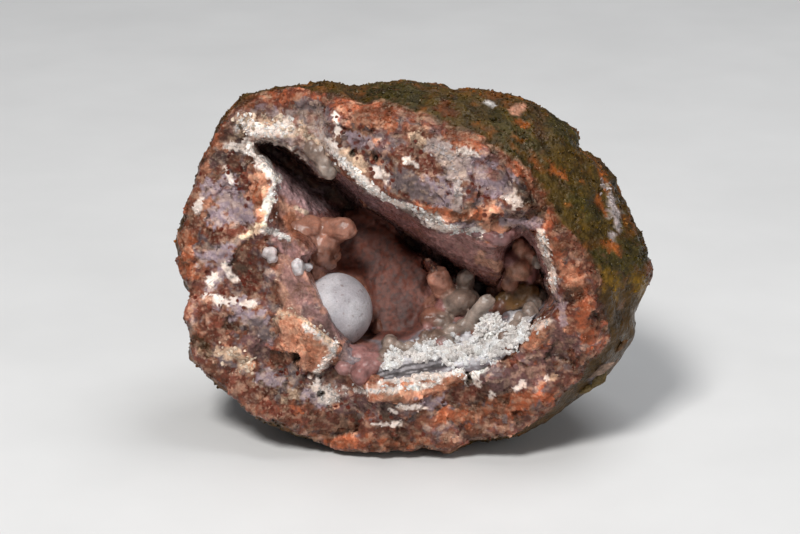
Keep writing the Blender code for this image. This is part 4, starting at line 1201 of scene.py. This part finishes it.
def make_knobs():
    """The grape-like lumps and fingers of the crust, grown together where they touch."""
    chance = np.random.default_rng(KNOB_SEED)
    lumps = Lumps()
    ball = sphere_shape(4)
    small_ball = sphere_shape(3)

    def add_ball(centre, radii, tone, shape=ball, amount=SMALL_BUMPINESS):
        points = bumpy(shape[0], centre, amount, 1.1) * np.array(radii) + np.array(centre)
        lumps.add(points, shape[1], tone_colour(tone, chance))

    for x, y, radius, height, tone in ROUND_KNOBS:
        squeeze = chance.uniform(*KNOB_RANGE)
        radius *= chance.uniform(*KNOB_RANGE)
        x, y = x + chance.normal(0, KNOB_JITTER), y + chance.normal(0, KNOB_JITTER)
        centre = on_wall(x, y, height + front_rise(x, y))
        amount = WHITE_BUMPINESS if tone == WHITE_TONE else BUMPINESS
        add_ball(centre, (radius * squeeze, radius / squeeze, radius * KNOB_DEPTH), tone, amount=amount)
    for x0, y0, x1, y1, root_radius, tip_radius, low, high, tone in FINGERS:
        root = on_wall(x0, y0, low)
        tip = Vector((x1, y1, root.z + high - low))
        add_finger(lumps, root, tip, root_radius, tip_radius, tone_colour(tone, chance))
    for x, y, half_x, half_y, half_depth, turn, height, tone in BLOCKS:
        points = blocky(ball[0], (half_x, half_y, half_depth), math.radians(turn))
        centre = on_wall(x, y, height)
        uneven = fractal(points, 0.9, 2, 6.0)[:, None] * 0.4 * ball[0]
        lumps.add(points + uneven + np.array(centre), ball[1], tone_colour(tone, chance))
    for _ in range(SMALL_KNOBS):
        x, y = (chance.uniform(*side) for side in SMALL_KNOB_AREA)
        radius = 0.3 + 0.75 * chance.uniform() ** 2
        tone = int(chance.choice(SMALL_KNOB_TONES))
        if inside(BED, x, y) and not inside(BACK_PLATE, x, y):
            add_ball(on_wall(x, y, 0.9 + front_rise(x, y)), (radius,) * 3, tone, small_ball)
    knobs = lumps.finish("crust_knobs", chalcedony_material("knob_chalcedony", 0.3, 0.2, 0.35))
    return grown_together(knobs, np.concatenate(lumps.colours))


def grown_together(thing, colours):
    """Join touching lumps into one skin, and give each point the colour of the nearest lump."""
    points = read_points(thing.data) / MM
    write_points(thing.data, points)
    tree = point_tree(points)
    thing.data.attributes.remove(thing.data.attributes["tint"])
    even_out(thing, KNOB_VOXEL, 4)
    joined = read_points(thing.data)
    frosting = cell_domes(joined, 1.5) * 0.07 + fractal(joined, 2.4, 2, 3.0) * 0.04
    joined += read_vectors(thing.data.vertices, "normal") * (frosting - 0.06)[:, None]
    tint = np.array([
        np.mean([colours[index] for _, index, _ in tree.find_n(point, 5)], axis=0) for point in joined
    ])
    cloudy = 1.0 + 0.5 * fractal(joined, 0.8, 3, 14.0)
    write_points(thing.data, joined * MM)
    put_colours(thing.data, "tint", np.clip(tint * cloudy[:, None], 0, 1))
    thing.data.shade_smooth()
    return thing


def make_ball():
    x, y, radius, height = BALL
    points, faces = sphere_shape(6)
    centre = on_wall(x, y, height)
    grain = fractal(points, 11.0, 2, 2.0)
    shaped = points * (radius * (1.0 + 0.015 * fractal(points, 1.3, 2) + 0.005 * grain))[:, None]
    shaped[:, 1] *= 0.97
    colours = paint(
        plain("ball grey", len(points)),
        (smooth_step(-0.2, 0.3, fractal(points, 1.1, 3, 6.0)), "druse", 0.5),
        (smooth_step(0.48, 0.60, fractal(points, 9.0, 2, 12.0)), "grey", 0.3),
        (smooth_step(0.58, 0.66, fractal(points, 9.0, 2, 31.0)), "brown", 0.5),
    )
    lumps = Lumps()
    lumps.add(shaped + np.array(centre), faces, colours)
    return lumps.finish("frosted_ball", chalcedony_material("frosted_chalcedony", 0.5, 0.04, 0.2))


def make_bed():
    """The crust's sheet over the hollow's floor and over the brown plate at its back."""
    xs, ys = (np.arange(low, high, BED_STEP) for low, high in BED_AREA)
    x, y = np.meshgrid(xs, ys, indexing="ij")
    plate_area = inside(BACK_PLATE, x, y)
    keep = inside(BED, x, y) | plate_area
    keep &= np.hypot(x - PLATE_CORNER[0], y - PLATE_CORNER[1]) > PLATE_CORNER[2]
    on_plate = soften(plate_area.astype(float), 4)[keep]
    x, y = x[keep], y[keep]
    level = depth_map.at(x, y)
    solid = np.column_stack([x, y, level])
    frosted = cell_domes(solid, 0.75) * 0.5 + cell_domes(solid, 1.9, 3.0) * 0.22
    frosted += fractal(solid, 0.8, 3, 4.0) * 0.25
    slab = 0.3 + fractal(solid, 0.3, 3, 8.0) * 0.35 + fractal(solid, 1.4, 4, 1.0) * 0.09
    top = level + BED_TOP + frosted * (1 - on_plate) + slab * on_plate + front_rise(x, y)
    top = np.minimum(top, np.maximum(level, depth_map.at(x, y, depth_map.face)) - 0.1)
    sunk = dip(x, y)
    above, below = np.column_stack([x, y, top - sunk]), np.column_stack([x, y, level - sunk - BED_BOTTOM])
    floor_colours = bed_colours(solid, x, y)
    colours = floor_colours * (1 - on_plate)[:, None] + plate_colours(solid, y) * on_plate[:, None]
    lumps = Lumps()
    lumps.add(np.concatenate([above, below]), sheet_faces(keep), np.concatenate([colours, colours]))
    return lumps.finish("druse_bed", chalcedony_material("bed_chalcedony", 0.6, 0.2, 0.1))


def sheet_faces(keep):
    """Faces of a closed sheet over the kept points of a grid: its top, its underside and its rim."""
    count = keep.sum()
    grid = -np.ones(keep.shape, dtype=int)
    grid[keep] = np.arange(count)
    quads = np.stack([grid[:-1, :-1], grid[1:, :-1], grid[1:, 1:], grid[:-1, 1:]], axis=-1).reshape(-1, 4)
    quads = quads[(quads >= 0).all(axis=1)]
    edges = {}
    for a, b, c, d in quads.tolist():
        for start, end in ((a, b), (b, c), (c, d), (d, a)):
            if (end, start) in edges:
                del edges[(end, start)]
            else:
                edges[(start, end)] = True
    rim = [np.array([end, start, start + count, end + count]) for start, end in edges]
    return list(quads) + list(quads[:, ::-1] + count) + rim


def bed_colours(solid, x, y):
    middle = fractal(solid, 0.6, 3, 5.0)
    front_line = distance_to_line(DRUSE_LINE, x, y)
    edge = distance_to_line(FRONT_EDGE, x, y)
    stripes = smooth_step(-0.2, 0.5, np.sin(edge * STRIPE_RATE + middle * 2.0))
    striped = smooth_step(LEDGE_WIDTH + 0.5, LEDGE_WIDTH, edge) * smooth_step(1.0, 0.0, x - LEDGE_END)
    return paint(
        plain("clay", len(solid)),
        (smooth_step(0.0, 0.2, middle), "deep pink", 0.7),
        (smooth_step(4.0, 2.6, front_line + middle * 2.0), "grey", 1.0),
        (smooth_step(2.4, 1.4, front_line + middle * 1.5), "druse", 1.0),
        (striped, "grey", 0.6),
        (stripes * striped, "dark", 0.75),
    )


def plate_colours(solid, y):
    middle = fractal(solid, 0.6, 3, 5.0)
    grainy = fractal(solid * np.array([1.0, 1.0, 0.4]), 2.0, 3, 6.0)
    return paint(
        plain("plate", len(solid)),
        (smooth_step(0.0, 0.3, fractal(solid, 0.3, 3, 2.0)), "dark pink", 0.6),
        (smooth_step(-3.0, -8.0, y + middle * 4.0), "dark pink", 0.6),
        (smooth_step(0.0, 0.3, middle + grainy * 0.5), "brick", 0.5),
        (smooth_step(0.05, 0.3, -grainy), "shade", 0.6),
    )


def crystal_shape():
    """A six-sided crystal with a flat-faced point, along depth, one unit wide."""
    ring = [(math.cos(k * math.pi / 3), math.sin(k * math.pi / 3)) for k in range(6)]
    points = [(x * 0.5, y * 0.5, z) for z in (-0.6, 0.45) for x, y in ring]
    points += [(0.0, 0.0, 1.0), (0.0, 0.0, -0.6)]
    faces = []
    for k in range(6):
        after = (k + 1) % 6
        faces += [[k, after, after + 6, k + 6], [k + 6, after + 6, 12], [after, k, 13]]
    return np.array(points), [np.array(face) for face in faces]


def make_druse():
    """The band of small clear and white crystals along the front of the floor."""
    chance = np.random.default_rng(DRUSE_SEED)
    points, faces = crystal_shape()
    lumps = Lumps()
    for _ in range(DRUSE_CRYSTALS):
        x, y = place_along(DRUSE_LINE, chance) + [chance.normal(0, spread) for spread in DRUSE_SPREAD]
        if x < LEDGE_END and distance_to_line(FRONT_EDGE, x, y) < LEDGE_WIDTH:
            continue
        drift = noise.noise_vector(Vector((x * 0.7, y * 0.7, 0.0)))
        lean_x = drift.x * 1.6 + chance.normal(0, DRUSE_LEAN)
        lean_y = 0.4 + drift.y * 1.2 + chance.normal(0, DRUSE_LEAN)
        size = 0.2 + 0.6 * chance.uniform() ** 3
        shaped = points * size * np.array([1.0, 1.0, chance.uniform(1.0, 1.9)])
        colour = srgb("white") * (1.12 + 0.6 * drift.z + chance.normal(0, 0.15))
        pile = noise.fractal(Vector((x * 0.6, y * 0.9, 3.0)), 1.0, 2.0, 2)
        lift = chance.uniform(0.8, 1.5) + max(-0.6, 2.2 * pile) + float(front_rise(x, y))
        turn = turn_to(Vector((lean_x, lean_y, 1.0)).normalized())
        lumps.add(shaped @ turn + np.array(on_wall(x, y, lift)), faces, np.clip(colour, 0, 1))
    for x, y, radius, height, count in DRUSE_TUFTS:
        middle = np.array(on_wall(x, y, height + front_rise(x, y)))
        for _ in range(count):
            outward = Vector((chance.normal(0, 0.7), chance.normal(0, 0.7), abs(chance.normal(0, 1.0))))
            outward.normalize()
            shaped = points * chance.uniform(*TUFT_SIZES) * np.array([1.0, 1.0, 1.2])
            colour = srgb("white") * chance.uniform(0.8, 1.3)
            place = middle + np.array(outward) * radius * 0.95
            lumps.add(shaped @ turn_to(outward) + place, faces, np.clip(colour, 0, 1))
    quartz = chalcedony_material("druse_quartz", 0.12, 0.02, 0.0)
    shader = quartz.node_tree.nodes["Principled BSDF"]
    shader.inputs["Transmission Weight"].default_value = 0.12
    shader.inputs["IOR"].default_value = 1.54
    piece = lumps.finish("druse_crystals", quartz)
    piece.data.shade_flat()
    return piece


# Materials


class Nodes:
    """Short calls for adding and joining shader nodes."""

    def __init__(self, name):
        self.material = bpy.data.materials.new(name)
        self.material.use_nodes = True
        self.tree = self.material.node_tree
        self.shader = self.tree.nodes["Principled BSDF"]
        self.place = self.tree.nodes.new("ShaderNodeTexCoord").outputs["Object"]

    def add(self, kind, **values):
        node = self.tree.nodes.new(kind)
        for key, value in values.items():
            setattr(node, key, value)
        return node

    def join(self, start, end):
        self.tree.links.new(start, end)

    def attribute(self, name):
        return self.add("ShaderNodeAttribute", attribute_name=name)

    def noise(self, scale, detail=4.0, roughness=0.55, distortion=0.0):
        node = self.add("ShaderNodeTexNoise")
        node.inputs["Scale"].default_value = scale
        node.inputs["Detail"].default_value = detail
        node.inputs["Roughness"].default_value = roughness
        node.inputs["Distortion"].default_value = distortion
        self.join(self.place, node.inputs["Vector"])
        return node.outputs["Fac"]

    def cells(self, scale, feature="F1"):
        node = self.add("ShaderNodeTexVoronoi", feature=feature)
        node.inputs["Scale"].default_value = scale
        self.join(self.place, node.inputs["Vector"])
        return node.outputs["Distance"]

    def ramp(self, value, *stops):
        node = self.add("ShaderNodeValToRGB")
        band = node.color_ramp
        while len(band.elements) < len(stops):
            band.elements.new(0.5)
        for element, (position, level) in zip(band.elements, stops):
            element.position = position
            element.color = (level, level, level, 1.0)
        self.join(value, node.inputs["Fac"])
        return node.outputs["Color"]

    def mix(self, kind, amount, first, second):
        node = self.add("ShaderNodeMix", data_type="RGBA", blend_type=kind)
        for socket, value in ((node.inputs[0], amount), (node.inputs[6], first), (node.inputs[7], second)):
            if isinstance(value, bpy.types.NodeSocket):
                self.join(value, socket)
            else:
                socket.default_value = value
        return node.outputs[2]

    def times(self, first, second, amount=1.0):
        return self.mix("MULTIPLY", amount, first, second)

    def cover(self, colour, amount, name):
        """A colour of the palette laid over another by an amount."""
        return self.mix("MIX", amount, colour, (*srgb(name), 1.0))

    def bump(self, height, distance, strength, before=None):
        node = self.add("ShaderNodeBump")
        node.inputs["Distance"].default_value = distance
        node.inputs["Strength"].default_value = strength
        self.join(height, node.inputs["Height"])
        if before is not None:
            self.join(before, node.inputs["Normal"])
        return node.outputs["Normal"]

    def soft_inside(self, weight, scale):
        self.shader.inputs["Subsurface Weight"].default_value = weight
        self.shader.inputs["Subsurface Radius"].default_value = (1.0, 0.7, 0.6)
        self.shader.inputs["Subsurface Scale"].default_value = scale


def rock_material():
    """Broken chalcedony and the nodule's earthy skin, tinted by the mesh's own colours."""
    nodes = Nodes("broken_nodule")
    tint = nodes.attribute("tint").outputs["Color"]
    mottle = nodes.ramp(nodes.noise(420.0, 8.0, 0.68, 0.8), (0.34, 0.30), (0.5, 0.82), (0.66, 1.4))
    grain = nodes.ramp(nodes.noise(2600.0, 4.0, 0.65), (0.32, 0.72), (0.68, 1.25))
    cloudiness = nodes.ramp(nodes.attribute("clear").outputs["Fac"], (0.0, 0.85), (1.0, 0.35))
    colour = nodes.times(nodes.times(tint, mottle, cloudiness), grain, cloudiness)
    pale = nodes.ramp(nodes.noise(1250.0, 5.0, 0.7, 0.8), (0.63, 0.0), (0.69, 0.5))
    colour = nodes.cover(colour, nodes.times(pale, tint), "white")
    holes = nodes.ramp(nodes.noise(1700.0, 5.0, 0.7, 0.4), (0.29, 0.8), (0.35, 0.0))
    colour = nodes.cover(colour, nodes.times(holes, cloudiness), "dark")
    cracks = nodes.ramp(nodes.cells(420.0, "DISTANCE_TO_EDGE"), (0.0, 0.55), (0.035, 0.0))
    few = nodes.ramp(nodes.noise(300.0, 3.0), (0.50, 0.0), (0.60, 1.0))
    colour = nodes.cover(colour, nodes.times(cracks, few), "brown")
    dots = nodes.ramp(nodes.cells(980.0), (0.26, 1.0), (0.34, 0.0))
    often = nodes.ramp(nodes.noise(520.0, 2.0), (0.36, 0.0), (0.42, 1.0))
    where = nodes.times(nodes.times(dots, often), nodes.attribute("specks").outputs["Fac"])
    nodes.join(nodes.cover(colour, where, "speck"), nodes.shader.inputs["Base Color"])
    uneven = nodes.ramp(nodes.noise(900.0, 4.0), (0.38, 0.12), (0.62, 0.38))
    glossy = nodes.ramp(nodes.noise(700.0, 5.0), (0.40, 0.25), (0.60, 0.6))
    on_skin = nodes.attribute("skin").outputs["Fac"]
    nodes.join(nodes.mix("MIX", on_skin, uneven, glossy), nodes.shader.inputs["Roughness"])
    coarse = nodes.bump(nodes.noise(1000.0, 6.0, 0.6), 0.0005, 0.4)
    faceted = nodes.bump(nodes.cells(1900.0), 0.0004, 0.4, coarse)
    nodes.join(nodes.bump(nodes.noise(4800.0, 3.0), 0.00012, 0.5, faceted), nodes.shader.inputs["Normal"])
    nodes.shader.inputs["Specular IOR Level"].default_value = 0.36
    nodes.shader.inputs["Specular Tint"].default_value = (1.0, 0.86, 0.66, 1.0)
    nodes.soft_inside(0.15, 0.0007)
    return nodes.material


def chalcedony_material(name, roughness, unevenness, softness):
    """Waxy or frosted chalcedony, tinted by the mesh's own colours."""
    nodes = Nodes(name)
    tint = nodes.attribute("tint").outputs["Color"]
    cloud = nodes.ramp(nodes.noise(600.0, 4.0), (0.3, 0.9 - unevenness), (0.7, 1.0 + unevenness))
    grain = nodes.ramp(nodes.noise(5200.0, 2.0), (0.35, 0.88), (0.65, 1.08))
    nodes.join(nodes.times(nodes.times(tint, cloud), grain), nodes.shader.inputs["Base Color"])
    nodes.shader.inputs["Roughness"].default_value = roughness
    uneven = nodes.bump(nodes.noise(1400.0, 3.0), 0.0002, 0.35)
    nodes.join(nodes.bump(nodes.noise(6500.0, 3.0), 0.00008, 0.5, uneven), nodes.shader.inputs["Normal"])
    nodes.soft_inside(softness, 0.0012)
    return nodes.material


def floor_material():
    nodes = Nodes("pale_floor")
    grey = nodes.ramp(nodes.noise(40.0, 3.0), (0.3, 0.66), (0.7, 0.70))
    nodes.join(grey, nodes.shader.inputs["Base Color"])
    nodes.shader.inputs["Roughness"].default_value = 0.6
    return nodes.material


# Floor, light and camera


def make_floor():
    mesh = mesh_from(
        lambda shape: bmesh.ops.create_grid(shape, x_segments=1, y_segments=1, size=FLOOR_HALF)
    )
    mesh.materials.append(floor_material())
    new_object("floor", mesh)


def make_lights():
    for name, place, size, energy, colour in LAMPS:
        lamp = bpy.data.lights.new(name, "AREA")
        lamp.size = size
        lamp.energy = energy
        lamp.color = colour
        thing = new_object(name, lamp)
        thing.location = place
        aim = Vector(STONE_MIDDLE * MM) - Vector(place)
        thing.rotation_euler = aim.to_track_quat("-Z", "Y").to_euler()
    world = bpy.data.worlds.new("soft_room")
    world.use_nodes = True
    world.node_tree.nodes["Background"].inputs["Color"].default_value = ROOM_COLOUR
    world.node_tree.nodes["Background"].inputs["Strength"].default_value = ROOM_STRENGTH
    bpy.context.scene.world = world
    bpy.context.scene.view_settings.view_transform = "Standard"


def make_camera():
    lens = bpy.data.cameras.new("camera")
    lens.sensor_width = SENSOR
    lens.lens = PIXELS_PER_MM * LOOK_DISTANCE / FRAME_PIXELS[0] * SENSOR
    lens.clip_start = 0.01
    camera = new_object("camera", lens)
    aside = (FRAME_PIXELS[0] / 2 - MIDDLE_PIXEL[0]) / PIXELS_PER_MM
    above = (MIDDLE_PIXEL[1] - FRAME_PIXELS[1] / 2) / PIXELS_PER_MM
    place = STONE_MIDDLE + TOWARD * LOOK_DISTANCE + np.array([aside, 0.0, 0.0]) + UP * above
    camera.location = place * MM
    camera.rotation_euler = Euler((math.pi / 2 - LOOK_DOWN, 0.0, 0.0))
    bpy.context.scene.camera = camera


def make_stone():
    """The rock with its chips and grains, and the crust in its hollow."""
    rock, colours, face = make_rock()
    rock.data.materials.append(rock_material())
    points = read_points(rock.data)
    layout, front, _ = zones(points)
    rough_skin = (1 - front) * (1 - smooth_skin(layout))
    weights = {"face_chips": face, "skin_grains": rough_skin}
    scatters = [make_scatter(name, rock, colours, weights[name], *rest) for name, *rest in SCATTERS]
    polygons = [list(polygon.vertices) for polygon in rock.data.polygons]
    edges = make_edges(BVHTree.FromPolygons(points.tolist(), polygons), rock.data.materials[0])
    write_points(rock.data, points * MM)
    return [rock, *scatters, edges], [make_bed(), make_ball(), make_knobs(), make_druse()]


stone, crust = make_stone()
for piece in stone:
    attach(piece, "root")
    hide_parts("geode_rock")
for piece in crust:
    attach(piece, "root")
    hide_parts("chalcedony_crust")
make_floor()
make_lights()
make_camera()
